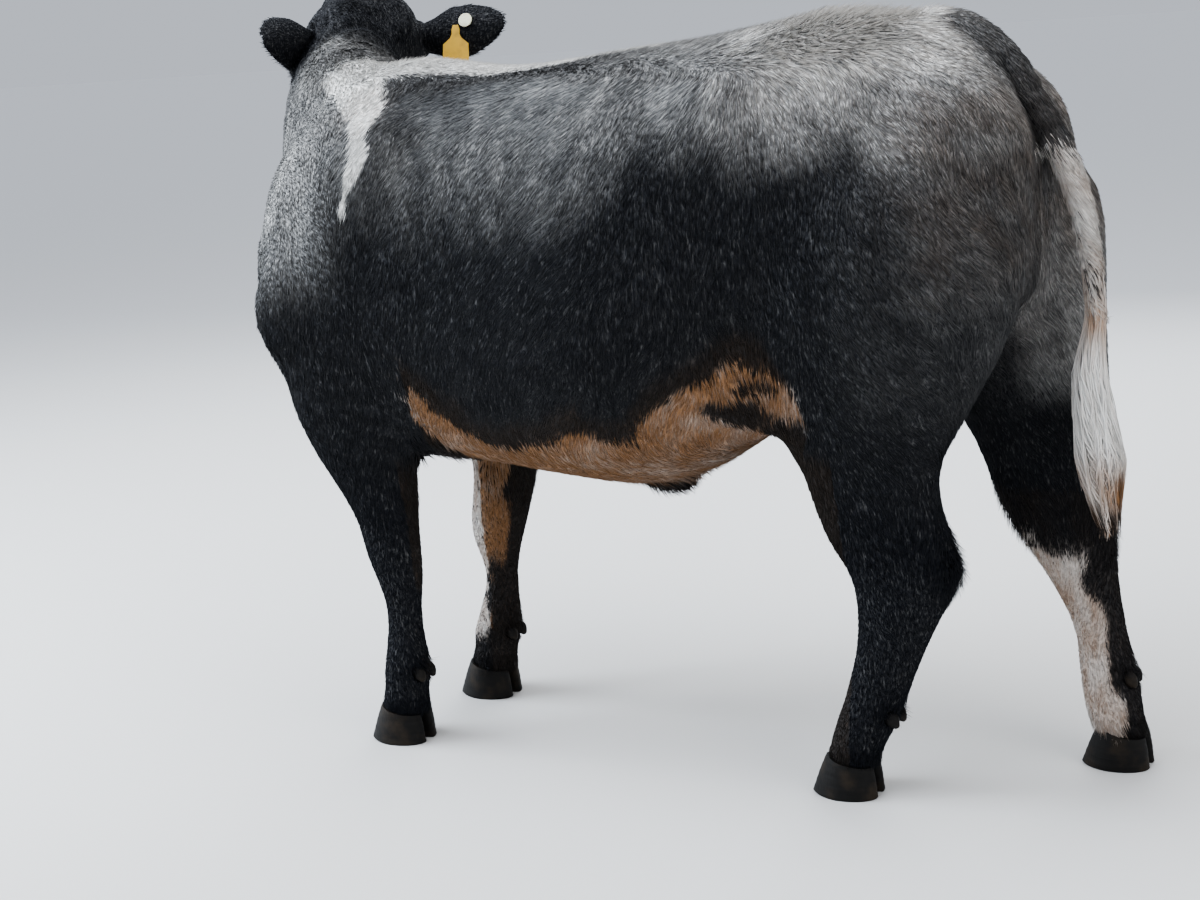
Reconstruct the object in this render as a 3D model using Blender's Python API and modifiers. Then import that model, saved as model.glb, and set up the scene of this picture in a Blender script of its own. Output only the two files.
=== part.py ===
"""Belgian Blue cross heifer, life size, standing and looking back over its right side.

Metres, +Z up. The trunk faces -Y, its left side is +X, and the soles are on Z = 0.
The whole body is fused from lofted lengths and rounded muscles, and then parted by thin cuts.
The tables have X = 0 on the trunk's midline. At the end all of it moves by -MIDDLE, which puts
the origin under the middle of the heifer.
"""
import math

import bmesh
import bpy
import numpy as np
from mathutils import Matrix, Vector
from mathutils.bvhtree import BVHTree

# Driving dimensions
GAP = 0.0003              # between touching pieces
VOXEL = 0.009             # grain of the fused body
BODY_FACES = 6072         # triangles that the fused body keeps
RING = 40                 # points round a lofted section
WITHERS = 1.262           # heights of the back
LOIN = 1.268
HIPS = 1.308
BELLY = 0.503             # lowest point of the belly
MIDDLE = (-0.1473, -0.1838)       # of the whole heifer, in the frame that the tables below use

# Trunk: y, top, bottom, half width, height of the widest line, roundness above and below it
TRUNK = (
    (-0.835, 1.02, 0.72, 0.090, 0.86, 2.0, 2.0),
    (-0.790, 1.11, 0.70, 0.155, 0.88, 2.0, 2.0),
    (-0.700, 1.20, 0.600, 0.224, 0.87, 2.0, 2.0),
    (-0.600, WITHERS - 0.006, 0.535, 0.260, 0.86, 2.0, 2.0),
    (-0.480, WITHERS + 0.008, 0.527, 0.282, 0.85, 2.1, 2.0),
    (-0.340, WITHERS - 0.012, 0.524, 0.300, 0.83, 2.2, 2.1),
    (-0.200, LOIN - 0.016, BELLY + 0.008, 0.330, 0.81, 2.2, 2.1),
    (-0.050, LOIN, BELLY, 0.345, 0.82, 2.3, 2.1),
    (0.080, LOIN + 0.010, BELLY + 0.032, 0.335, 0.86, 2.4, 2.0),
    (0.200, HIPS - 0.012, 0.608, 0.305, 0.93, 2.6, 2.0),
    (0.320, HIPS, 0.650, 0.285, 0.98, 2.6, 2.0),
    (0.440, HIPS - 0.010, 0.700, 0.270, 0.98, 2.4, 2.0),
    (0.530, HIPS - 0.030, 0.750, 0.240, 0.98, 2.2, 2.0),
    (0.600, HIPS - 0.085, 0.800, 0.195, 0.97, 2.1, 2.0),
    (0.655, HIPS - 0.180, 0.860, 0.130, 0.97, 2.0, 2.0),
)

# Neck: centre x, y, z, half depth, half width
NECK = (
    (0.000, -0.420, 0.985, 0.260, 0.190),
    (-0.008, -0.560, 1.000, 0.262, 0.190),
    (-0.076, -0.690, 1.055, 0.232, 0.160),
    (-0.184, -0.787, 1.143, 0.180, 0.135),
    (-0.286, -0.850, 1.246, 0.122, 0.106),
    (-0.350, -0.882, 1.312, 0.112, 0.094),
)
DEWLAP = (                # fold of skin from the throat to the brisket, in the same way
    (-0.322, -0.878, 1.175, 0.020, 0.022),
    (-0.280, -0.866, 1.085, 0.034, 0.026),
    (-0.215, -0.846, 0.990, 0.052, 0.034),
    (-0.130, -0.815, 0.890, 0.076, 0.050),
    (-0.050, -0.780, 0.790, 0.096, 0.070),
    (0.000, -0.735, 0.690, 0.090, 0.085),
)

# Legs, in level sections: x, y, z, half length fore and aft, half width
FORE_LEFT = (
    (0.150, -0.545, 1.020, 0.130, 0.080),
    (0.172, -0.575, 0.900, 0.160, 0.090),
    (0.178, -0.595, 0.760, 0.140, 0.090),
    (0.170, -0.598, 0.640, 0.120, 0.080),
    (0.160, -0.586, 0.560, 0.105, 0.071),
    (0.156, -0.567, 0.495, 0.084, 0.060),
    (0.153, -0.552, 0.425, 0.064, 0.050),
    (0.151, -0.548, 0.367, 0.057, 0.050),
    (0.150, -0.540, 0.319, 0.049, 0.042),
    (0.150, -0.536, 0.265, 0.038, 0.033),
    (0.150, -0.538, 0.205, 0.039, 0.033),
    (0.150, -0.540, 0.142, 0.047, 0.044),
    (0.150, -0.544, 0.112, 0.044, 0.044),
    (0.150, -0.550, 0.075, 0.045, 0.046),
    (0.150, -0.553, 0.040, 0.046, 0.051),
)
FORE_RIGHT = (
    (-0.150, -0.540, 1.020, 0.130, 0.080),
    (-0.172, -0.555, 0.900, 0.155, 0.090),
    (-0.175, -0.545, 0.760, 0.142, 0.090),
    (-0.162, -0.510, 0.640, 0.115, 0.078),
    (-0.148, -0.480, 0.560, 0.090, 0.066),
    (-0.140, -0.464, 0.490, 0.074, 0.058),
    (-0.135, -0.470, 0.430, 0.068, 0.051),
    (-0.133, -0.484, 0.368, 0.064, 0.050),
    (-0.131, -0.489, 0.322, 0.055, 0.042),
    (-0.130, -0.486, 0.270, 0.038, 0.033),
    (-0.130, -0.489, 0.215, 0.038, 0.033),
    (-0.130, -0.503, 0.142, 0.050, 0.044),
    (-0.130, -0.510, 0.108, 0.047, 0.044),
    (-0.130, -0.518, 0.072, 0.046, 0.046),
    (-0.130, -0.523, 0.040, 0.047, 0.051),
)
HIND_LEFT = (
    (0.125, 0.400, 1.120, 0.190, 0.120),
    (0.150, 0.415, 1.000, 0.258, 0.140),
    (0.158, 0.412, 0.880, 0.262, 0.138),
    (0.160, 0.400, 0.780, 0.238, 0.122),
    (0.158, 0.395, 0.700, 0.200, 0.102),
    (0.155, 0.398, 0.640, 0.162, 0.086),
    (0.150, 0.402, 0.575, 0.124, 0.070),
    (0.147, 0.414, 0.505, 0.116, 0.060),
    (0.145, 0.440, 0.440, 0.117, 0.054),
    (0.143, 0.457, 0.396, 0.104, 0.051),
    (0.142, 0.448, 0.345, 0.083, 0.045),
    (0.141, 0.432, 0.285, 0.067, 0.040),
    (0.140, 0.411, 0.220, 0.058, 0.038),
    (0.140, 0.386, 0.150, 0.054, 0.043),
    (0.140, 0.370, 0.112, 0.052, 0.045),
    (0.140, 0.354, 0.070, 0.046, 0.046),
    (0.140, 0.349, 0.040, 0.047, 0.051),
)
HIND_RIGHT = (
    (-0.125, 0.430, 1.120, 0.190, 0.120),
    (-0.150, 0.452, 1.000, 0.256, 0.140),
    (-0.158, 0.470, 0.880, 0.250, 0.138),
    (-0.158, 0.515, 0.770, 0.205, 0.120),
    (-0.152, 0.565, 0.680, 0.160, 0.098),
    (-0.145, 0.600, 0.600, 0.132, 0.078),
    (-0.140, 0.616, 0.530, 0.114, 0.064),
    (-0.135, 0.632, 0.462, 0.104, 0.054),
    (-0.132, 0.650, 0.415, 0.094, 0.049),
    (-0.131, 0.671, 0.352, 0.072, 0.044),
    (-0.130, 0.694, 0.290, 0.056, 0.038),
    (-0.130, 0.710, 0.235, 0.048, 0.036),
    (-0.130, 0.722, 0.165, 0.051, 0.042),
    (-0.130, 0.729, 0.110, 0.052, 0.045),
    (-0.130, 0.738, 0.072, 0.048, 0.046),
    (-0.130, 0.745, 0.040, 0.047, 0.051),
)

# Muscles and soft swellings: x, y, z, three half sizes, and tilt in degrees about the X axis
PAIRED_MASSES = (
    (0.190, -0.520, 0.930, 0.088, 0.150, 0.270, -18),    # shoulder blade
    (0.190, -0.665, 0.830, 0.088, 0.105, 0.130, 0),      # point of the shoulder
    (0.188, 0.225, 1.165, 0.086, 0.120, 0.085, 0),       # hip bone and its muscle
    (0.120, 0.500, 1.070, 0.125, 0.180, 0.170, 0),       # rump
    (0.205, 0.205, 0.780, 0.060, 0.120, 0.150, 20),      # fold of the flank
)
SINGLE_MASSES = (
    (0.0, -0.645, 0.645, 0.130, 0.130, 0.098, -12),      # brisket
    (0.0, -0.745, 0.880, 0.165, 0.120, 0.190, 0),        # breast
    (0.0, -0.040, 0.497, 0.022, 0.062, 0.030, 0),        # navel fold
    (0.0, 0.370, 0.655, 0.090, 0.110, 0.065, 0),         # udder
)

TEAT = (0.0085, 0.0085, 0.024)
TEAT_LEVEL = 0.592

# Tail: centre x, y, z and radius, from inside the rump to where its long hair begins
TAIL = (
    (0.000, 0.470, 1.270, 0.036),
    (0.000, 0.540, 1.262, 0.034),
    (0.000, 0.600, 1.215, 0.031),
    (0.000, 0.644, 1.148, 0.027),
    (-0.002, 0.690, 1.065, 0.024),
    (-0.004, 0.718, 0.985, 0.021),
    (-0.006, 0.732, 0.900, 0.018),
    (-0.008, 0.740, 0.800, 0.016),
)
TAIL_ROOM = 0.0012        # between the hanging tail and the rump
TAIL_CUT = 6              # the step of the smoothed tail where it parts from the rump
SWITCH = (                # height, y, half width across, half width fore and aft
    (0.800, 0.740, 0.0155, 0.0155),
    (0.755, 0.732, 0.0210, 0.0230),
    (0.710, 0.728, 0.0250, 0.0300),
    (0.630, 0.735, 0.0330, 0.0400),
    (0.570, 0.742, 0.0370, 0.0460),
    (0.535, 0.744, 0.0340, 0.0400),
    (0.495, 0.748, 0.0270, 0.0300),
    (0.450, 0.756, 0.0170, 0.0200),
)
SWITCH_CORE = 0.64        # the height where the core under the locks ends
LOCKS = 17
LOCK_STEPS = 5
LOCK_WIDTH = 0.0130       # half width and half thickness of a lock where it is fullest
LOCK_DEPTH = 0.0040
ROOTS = (0.780, 0.600)    # heights between which the locks leave the core
TIPS = (0.452, 0.580)     # heights between which they end

# Head, in its own frame: poll at the origin, X to the left, -Y along the face, Z off the face
POLL = Vector((-0.375, -0.870, 1.415))
HEAD_TURN = math.radians(40)
HEAD_DIP = math.radians(38)
# distance from the poll, top, bottom, half width, level of the widest line, roundness above, below
HEAD = (
    (-0.040, -0.050, -0.165, 0.080, -0.105, 2.1, 2.1),
    (0.000, -0.012, -0.205, 0.100, -0.100, 2.3, 2.2),
    (0.050, 0.002, -0.235, 0.108, -0.092, 2.5, 2.3),
    (0.105, 0.004, -0.248, 0.110, -0.088, 2.6, 2.3),
    (0.155, 0.001, -0.240, 0.106, -0.084, 2.6, 2.2),
    (0.210, -0.003, -0.226, 0.096, -0.086, 2.5, 2.1),
    (0.270, -0.008, -0.205, 0.084, -0.088, 2.5, 2.1),
    (0.330, -0.010, -0.188, 0.077, -0.090, 2.5, 2.1),
    (0.385, -0.010, -0.178, 0.077, -0.090, 2.5, 2.2),
    (0.430, -0.012, -0.172, 0.082, -0.088, 2.6, 2.3),
    (0.462, -0.022, -0.163, 0.080, -0.086, 2.6, 2.4),
    (0.484, -0.044, -0.142, 0.064, -0.086, 2.4, 2.3),
)
HEAD_PAIRED = (
    (0.074, 0.112, -0.165, 0.035, 0.076, 0.066),         # cheek
    (0.089, 0.148, -0.044, 0.024, 0.046, 0.027),         # brow and eye socket
    (0.053, 0.450, -0.064, 0.030, 0.036, 0.034),         # side of the nostril
    (0.040, 0.430, -0.114, 0.042, 0.046, 0.022),         # upper lip
)
HEAD_SINGLE = (
    (0.0, 0.026, -0.036, 0.088, 0.064, 0.046),           # poll
    (0.0, 0.440, -0.066, 0.068, 0.047, 0.049),           # nose
    (0.0, 0.410, -0.162, 0.054, 0.054, 0.026),           # chin and lower lip
)
EYE = (0.0985, 0.160, -0.062)
EYE_RADIUS = 0.0220
EYE_WAY = (0.90, 0.38, 0.06)      # the way the left eye looks: left, ahead, up
EYE_OPENING = (0.043, 0.027)      # length and height between the lids
LID = 0.0036
EAR_ROOT = (0.122, 0.049, -0.110)
EAR_LENGTH = 0.188
EAR_WIDTH = 0.118
EAR_SWEEP = math.radians(38)
EAR_RISE = 0.10
EAR_STUB = 0.030          # radius of the ear's root
# Room that head and neck leave round it: how far out along the ear, and radius
EAR_ROOM = ((-GAP, 0.044), (0.034, 0.044), (0.064, 0.060), (0.100, 0.062))
MOUTH_LEVEL = -0.131
MOUTH_CORNER = 0.352      # where the line of the mouth ends, ahead of the poll
MOUTH_GROOVE = 0.0035
NOSTRIL = (               # left nostril, seen from ahead: left, up, radius
    (0.026, -0.085, 0.0080),
    (0.034, -0.077, 0.0125),
    (0.043, -0.066, 0.0125),
    (0.052, -0.057, 0.0095),
    (0.061, -0.053, 0.0060),
    (0.068, -0.054, 0.0028),
)
NOSTRIL_VIEW = 0.34       # how far out to the side of straight ahead it faces
NOSTRIL_DEPTH = 0.45      # how far its middle line lies under the skin, in radii

# Tags in the right ear: how far along the ear, and across it
FLAG_PLACE = (0.463, -0.10)
BUTTON_PLACE = (0.580, 0.15)
TAG_STAND = 0.0035        # how far a tag stands off the ear
CATCH_RADIUS = 0.0110
TAG_THICKNESS = 0.0022
FLAG_OUTLINE = (          # half width and height below the pin
    (0.0055, 0.0085), (0.0085, 0.000), (0.0085, -0.010), (0.0125, -0.018),
    (0.0275, -0.030), (0.0285, -0.068), (0.0260, -0.072),
)
BUTTON_RADIUS = 0.0145
PIN_RADIUS = 0.0030

CLAW_LENGTH = 0.118
CLAW_WIDTH = 0.050
CLAW_GAP = 0.006          # cleft between the two claws
CLAW_HEIGHT = 0.062       # at the middle of the coronet, which falls towards the heel
CORONET_SLOPE = 0.20
CLAW_AHEAD = 0.009        # the claws' centre, ahead of the leg's last section
SIDES = (("left", 1), ("right", -1))

# Where each leg leaves the trunk: x from and to, y from and to, and the cut's height at the
# middle of that rectangle, with its rise to the left and to the rear
LEG_CUTS = {
    "fore_left": (0.060, 0.400, -0.800, -0.445, 0.660, 0.42, 0.0),
    "fore_right": (-0.400, -0.060, -0.690, -0.345, 0.650, -0.42, 0.0),
    "hind_left": (0.050, 0.400, 0.150, 0.780, 0.700, 0.0, 0.24),
    "hind_right": (-0.400, -0.050, 0.290, 0.840, 0.715, 0.0, 0.24),
}
KNEES = {"fore": 0.335, "hind": 0.375}       # heights where the lower legs begin


def clear_scene():
    for old in list(bpy.data.objects):
        bpy.data.objects.remove(old, do_unlink=True)


def new_collection(name):
    collection = bpy.data.collections.new(name)
    bpy.context.scene.collection.children.link(collection)
    return collection


def finish(name, colour, roughness):
    """A plain finish with one colour."""
    material = bpy.data.materials.new(name)
    material.use_nodes = True
    shader = material.node_tree.nodes["Principled BSDF"]
    shader.inputs["Base Color"].default_value = (*colour, 1)
    shader.inputs["Roughness"].default_value = roughness
    shader.inputs["Metallic"].default_value = 0
    return material


def add_object(name, mesh, collection):
    obj = bpy.data.objects.new(name, mesh)
    collection.objects.link(obj)
    return obj


def mesh_from(name, points, faces):
    mesh = bpy.data.meshes.new(name)
    mesh.from_pydata([tuple(p) for p in points], [], faces)
    mesh.update()
    shape = bmesh.new()
    shape.from_mesh(mesh)
    bmesh.ops.recalc_face_normals(shape, faces=shape.faces)
    shape.to_mesh(mesh)
    shape.free()
    return mesh


def smooth_rows(rows, count):
    """A Catmull-Rom curve through the rows, read at this many places for each step."""
    rows = np.array(rows, float)
    ends = np.vstack([2 * rows[0] - rows[1], rows, 2 * rows[-1] - rows[-2]])
    found = []
    for i in range(len(rows) - 1):
        a, b, c, d = ends[i : i + 4]
        for t in np.arange(count) / count:
            found.append(
                0.5 * (2 * b + (c - a) * t + (2 * a - 5 * b + 4 * c - d) * t**2
                       + (3 * b - a - 3 * c + d) * t**3)
            )
    return np.array(found + [rows[-1]])


def loft(name, rings):
    """A closed skin over rings that have the same number of points, with a cap on each end."""
    rings = np.array(rings)
    count = rings.shape[1]
    faces = []
    for i in range(len(rings) - 1):
        for j in range(count):
            k = (j + 1) % count
            faces.append((i * count + j, i * count + k, (i + 1) * count + k, (i + 1) * count + j))
    faces.append(tuple(range(count - 1, -1, -1)))
    faces.append(tuple(range((len(rings) - 1) * count, len(rings) * count)))
    return mesh_from(name, rings.reshape(-1, 3), faces)


def bowed(value, roundness):
    """The superellipse law on a sine or cosine."""
    return np.sign(value) * np.abs(value) ** (2 / roundness)


def upright_ring(along, top, bottom, half_width, widest, above, below):
    """A section across the body's length, in the plane y = along."""
    turn = np.linspace(0, 2 * math.pi, RING, endpoint=False)
    up = np.sin(turn) >= 0
    x = half_width * np.where(up, bowed(np.cos(turn), above), bowed(np.cos(turn), below))
    z = np.where(up, (top - widest) * bowed(np.sin(turn), above),
                 (widest - bottom) * bowed(np.sin(turn), below))
    return np.stack([x, np.full(RING, along), widest + z], 1)


def level_ring(x, y, z, half_length, half_width):
    turn = np.linspace(0, 2 * math.pi, RING, endpoint=False)
    return np.stack([x + half_width * np.cos(turn), y + half_length * np.sin(turn),
                     np.full(RING, z)], 1)


def tube_rings(centres, depths, widths, count):
    """Rings square to a path: depth runs up and down, width runs level."""
    steps = np.gradient(centres, axis=0)
    turn = np.linspace(0, 2 * math.pi, count, endpoint=False)
    rings = []
    for centre, step, depth, width in zip(centres, steps, depths, widths):
        ahead = Vector(step).normalized()
        side = ahead.cross(Vector((0, 0, 1)))
        side = side.normalized() if side.length > 0.02 else Vector((1, 0, 0))
        if side.x < 0:
            side = -side
        lift = ahead.cross(side).normalized()
        rings.append(np.array(centre) + np.outer(np.cos(turn) * width, side)
                     + np.outer(np.sin(turn) * depth, lift))
    return rings


def ball(name, centre, sizes, tilt=0.0, turn_matrix=None, segments=32):
    """An ellipsoid from a sphere, tilted about the X axis."""
    shape = bmesh.new()
    bmesh.ops.create_uvsphere(shape, u_segments=segments, v_segments=segments // 2, radius=1)
    place = (Matrix.Translation(centre) @ Matrix.Rotation(math.radians(tilt), 4, "X")
             @ Matrix.Diagonal((*sizes, 1)))
    if turn_matrix is not None:
        place = turn_matrix @ place
    bmesh.ops.transform(shape, matrix=place, verts=shape.verts)
    mesh = bpy.data.meshes.new(name)
    shape.to_mesh(mesh)
    shape.free()
    return mesh


def box(name, low, high, place=None):
    shape = bmesh.new()
    bmesh.ops.create_cube(shape, size=1)
    centre = (Vector(low) + Vector(high)) / 2
    sides = Vector(high) - Vector(low)
    fit = Matrix.Translation(centre) @ Matrix.Diagonal((*sides, 1))
    if place is not None:
        fit = place @ fit
    bmesh.ops.transform(shape, matrix=fit, verts=shape.verts)
    mesh = bpy.data.meshes.new(name)
    shape.to_mesh(mesh)
    shape.free()
    return mesh


def head_frame():
    """From the head's own frame to the body's."""
    ahead = Vector((-math.sin(HEAD_TURN) * math.cos(HEAD_DIP),
                    -math.cos(HEAD_TURN) * math.cos(HEAD_DIP), -math.sin(HEAD_DIP)))
    left = Vector((math.cos(HEAD_TURN), -math.sin(HEAD_TURN), 0))
    back = -ahead
    frame = Matrix((left, back, left.cross(back))).transposed().to_4x4()
    return Matrix.Translation(POLL) @ frame


def on_head(side, ahead, up):
    """A place on the head, given as left, ahead and up, in the body's frame."""
    return head_frame() @ Vector((side, -ahead, up))


def head_meshes():
    frame = head_frame()
    rows = smooth_rows(HEAD, 4)
    rings = [upright_ring(-row[0], *row[1:]) for row in rows]
    skull = loft("skull", rings)
    skull.transform(frame)
    found = [skull]
    for x, ahead, z, *sizes in HEAD_PAIRED:
        for side in (1, -1):
            found.append(ball("swelling", (side * x, -ahead, z), sizes, 0, frame))
    for x, ahead, z, *sizes in HEAD_SINGLE:
        found.append(ball("swelling", (x, -ahead, z), sizes, 0, frame))
    for side in (1, -1):
        root, out, _ = ear_axes(side)
        centres = np.array([root - out * 0.07, root - out * 0.02, root + out * 0.012])
        radii = [0.050, 0.044, EAR_STUB]
        found.append(loft("ear_base", tube_rings(centres, radii, radii, RING)))
    return found


def ear_axes(side):
    """The ear's root, the way it points, and the way its cup opens."""
    left = Vector((math.cos(HEAD_TURN), -math.sin(HEAD_TURN), 0)) * side
    ahead = Vector((-math.sin(HEAD_TURN), -math.cos(HEAD_TURN), 0))
    out = left * math.cos(EAR_SWEEP) - ahead * math.sin(EAR_SWEEP) + Vector((0, 0, EAR_RISE))
    out.normalize()
    mouth = ahead * math.cos(EAR_SWEEP) + left * math.sin(EAR_SWEEP) + Vector((0, 0, -0.30))
    mouth = (mouth - out * mouth.dot(out)).normalized()
    return on_head(side * EAR_ROOT[0], EAR_ROOT[1], EAR_ROOT[2]), out, mouth


def body_meshes():
    """Every closed shape that the body is fused from."""
    rows = smooth_rows(TRUNK, 4)
    found = [loft("trunk", [upright_ring(*row) for row in rows])]
    rows = smooth_rows(NECK, 5)
    found.append(loft("neck", tube_rings(rows[:, :3], rows[:, 3], rows[:, 4], RING)))
    rows = smooth_rows(DEWLAP, 4)
    found.append(loft("dewlap", tube_rings(rows[:, :3], rows[:, 3], rows[:, 4], RING)))
    stub = smooth_rows(TAIL, 3)[: TAIL_CUT + 3]
    found.append(loft("tail_head", tube_rings(stub[:, :3], stub[:, 3], stub[:, 3], RING)))
    for leg in (FORE_LEFT, FORE_RIGHT, HIND_LEFT, HIND_RIGHT):
        found.append(loft("leg", [level_ring(*row) for row in smooth_rows(leg, 4)]))
    for x, y, z, *rest in PAIRED_MASSES:
        for side in (1, -1):
            found.append(ball("muscle", (side * x, y, z), rest[:3], rest[3]))
    for x, y, z, *rest in SINGLE_MASSES:
        found.append(ball("swelling", (x, y, z), rest[:3], rest[3]))
    return found + head_meshes()


def baked(obj):
    """The object's mesh with its modifiers applied."""
    bpy.context.view_layer.update()
    graph = bpy.context.evaluated_depsgraph_get()
    mesh = bpy.data.meshes.new_from_object(obj.evaluated_get(graph))
    return mesh


def settle(obj):
    """Applies the modifiers in place."""
    mesh = baked(obj)
    obj.modifiers.clear()
    old = obj.data
    obj.data = mesh
    bpy.data.meshes.remove(old)


def largest(mesh):
    """Keeps only the largest closed surface."""
    shape = bmesh.new()
    shape.from_mesh(mesh)
    left = set(shape.faces)
    groups = []
    while left:
        face = left.pop()
        group, edge_of = [face], [face]
        while edge_of:
            here = edge_of.pop()
            for edge in here.edges:
                for other in edge.link_faces:
                    if other in left:
                        left.discard(other)
                        group.append(other)
                        edge_of.append(other)
        groups.append(group)
    groups.sort(key=lambda g: sum(f.calc_area() for f in g), reverse=True)
    extra = [face for group in groups[1:] for face in group]
    if extra:
        bmesh.ops.delete(shape, geom=extra, context="FACES")
        loose = [v for v in shape.verts if not v.link_faces]
        bmesh.ops.delete(shape, geom=loose, context="VERTS")
    shape.to_mesh(mesh)
    shape.free()


def joined(name, meshes, collection):
    """One object that holds all these meshes, not yet fused."""
    shape = bmesh.new()
    for mesh in meshes:
        shape.from_mesh(mesh)
        bpy.data.meshes.remove(mesh)
    mesh = bpy.data.meshes.new(name)
    shape.to_mesh(mesh)
    shape.free()
    return add_object(name, mesh, collection)


def weigh(obj, name, weight_of):
    group = obj.vertex_groups.new(name=name)
    for vertex in obj.data.vertices:
        weight = weight_of(vertex.co)
        if weight > 0:
            group.add([vertex.index], weight, "REPLACE")
    return name


def nearness(low, high, value):
    """0 at low and 1 at high, with a soft step between."""
    t = min(max((value - low) / (high - low), 0.0), 1.0)
    return t * t * (3 - 2 * t)


def softness(place):
    """How far a point of the body is smoothed: fully on the trunk, little on feet and face."""
    from_poll = (place - POLL).length
    return nearness(0.15, 0.60, place.z) * (0.15 + 0.85 * nearness(0.42, 0.62, from_poll))


def spare(place):
    """Which points the thinning may take first: the trunk's before the head's and feet's."""
    from_poll = (place - on_head(0, 0.25, -0.08)).length
    return 0.995 + 0.005 * nearness(0.25, 0.45, from_poll) * nearness(0.05, 0.5, place.z)


def fused_body(collection):
    obj = joined("body", body_meshes(), collection)
    grain = obj.modifiers.new("fuse", "REMESH")
    grain.mode = "VOXEL"
    grain.voxel_size = VOXEL
    settle(obj)
    largest(obj.data)
    weigh(obj, "soft", softness)
    for name, group, rounds in (("all", "", 3), ("trunk", "soft", 45)):
        easing = obj.modifiers.new(name, "SMOOTH")
        easing.factor = 0.5
        easing.iterations = rounds
        easing.vertex_group = group
    settle(obj)
    thin = obj.modifiers.new("thin", "DECIMATE")
    thin.ratio = BODY_FACES / (2 * len(obj.data.polygons))
    weigh(obj, "spare", spare)
    thin.vertex_group = "spare"
    thin.use_collapse_triangulate = True
    settle(obj)
    largest(obj.data)
    return obj


def boolean(obj, tool, operation, solver="MANIFOLD"):
    """Cuts, joins or keeps the common part, and applies it."""
    cut = obj.modifiers.new(operation.lower(), "BOOLEAN")
    cut.operation = operation
    cut.solver = solver
    cut.object = tool
    settle(obj)


def cutter(mesh, cutters):
    obj = add_object(mesh.name, mesh, cutters)
    obj.hide_render = True
    obj.display_type = "WIRE"
    return obj


def cut_block(point, normal, low, high, shift):
    """A block that lies beyond a flat face through point + shift, square to normal."""
    normal = Vector(normal).normalized()
    along = (Vector((0, 1, 0)) - normal * normal.y).normalized()
    across = along.cross(normal)
    place = Matrix((across, along, normal)).transposed().to_4x4()
    place = Matrix.Translation(Vector(point) + normal * shift) @ place
    return box("beyond", (low[0], low[1], 0), (high[0], high[1], high[2]), place)


def leg_block(x_from, x_to, y_from, y_to, height, rise_left, rise_rear, grow):
    """A block round one leg, from below the floor to a sloping top."""
    mesh = box("leg_block", (x_from - grow, y_from - grow, -0.1), (x_to + grow, y_to + grow, 0.1))
    for vertex in mesh.vertices:
        if vertex.co.z > 0:
            vertex.co.z = (height + grow + rise_left * (vertex.co.x - (x_from + x_to) / 2)
                           + rise_rear * (vertex.co.y - (y_from + y_to) / 2))
    return mesh


def part_off(name, body, inside_mesh, outside_mesh, parts, cutters):
    """Takes what lies inside a block out of the body as an object of its own."""
    inside, outside = cutter(inside_mesh, cutters), cutter(outside_mesh, cutters)
    piece = add_object(name, body.data.copy(), parts)
    boolean(piece, inside, "INTERSECT")
    boolean(body, outside, "DIFFERENCE")
    for tool in (inside, outside):
        bpy.data.objects.remove(tool, do_unlink=True)
    largest(piece.data)
    largest(body.data)
    return piece


def part_beyond(name, body, point, normal, reach, parts, cutters):
    """Takes what lies beyond a flat face, as far as the reach, out of the body."""
    low, high = (-reach[0], -reach[1]), reach
    near = cut_block(point, normal, low, high, GAP / 2)
    wide = cut_block(point, normal, [v - GAP for v in low], [v + GAP for v in high], -GAP / 2)
    return part_off(name, body, near, wide, parts, cutters)


def carve(obj, mesh, cutters):
    """Cuts one closed shape out of an object."""
    tool = cutter(mesh, cutters)
    boolean(obj, tool, "DIFFERENCE")
    bpy.data.objects.remove(tool, do_unlink=True)
    largest(obj.data)


def add_on(obj, mesh, cutters):
    """Fuses one closed shape with an object."""
    tool = cutter(mesh, cutters)
    boolean(obj, tool, "UNION")
    bpy.data.objects.remove(tool, do_unlink=True)
    largest(obj.data)


def eye_place(side):
    """The eye's centre and the way that it looks, in the body's frame."""
    centre = on_head(side * EYE[0], EYE[1], EYE[2])
    ahead = on_head(side * (EYE[0] + EYE_WAY[0]), EYE[1] + EYE_WAY[1], EYE[2] + EYE_WAY[2])
    return centre, (ahead - centre).normalized()


def eye_frame(side):
    """X along the gap between the lids, Y up, Z the way that the eye looks."""
    centre, look = eye_place(side)
    up = (head_frame().to_3x3() @ Vector((0, -0.25, 1))).normalized()
    along = up.cross(look).normalized()
    frame = Matrix((along, look.cross(along), look)).transposed().to_4x4()
    return Matrix.Translation(centre) @ frame


def eyeball(name, radius, side, segments):
    shape = bmesh.new()
    bmesh.ops.create_uvsphere(shape, u_segments=segments, v_segments=segments // 2, radius=radius)
    shape.transform(eye_frame(side))
    mesh = bpy.data.meshes.new(name)
    shape.to_mesh(mesh)
    shape.free()
    return mesh


def lid_opening(side):
    """The almond between the lids, as a short prism along the eye's look."""
    half, rise = EYE_OPENING[0] / 2, EYE_OPENING[1] / 2
    turn = np.linspace(0, 2 * math.pi, 16, endpoint=False)
    x = half * np.cos(turn)
    y = rise * np.sign(np.sin(turn)) * np.abs(np.sin(turn)) ** 1.3
    rings = [np.stack([x, y, np.full(16, z)], 1) for z in (0.004, 0.040)]
    mesh = loft("almond", rings)
    mesh.transform(eye_frame(side))
    return mesh


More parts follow.
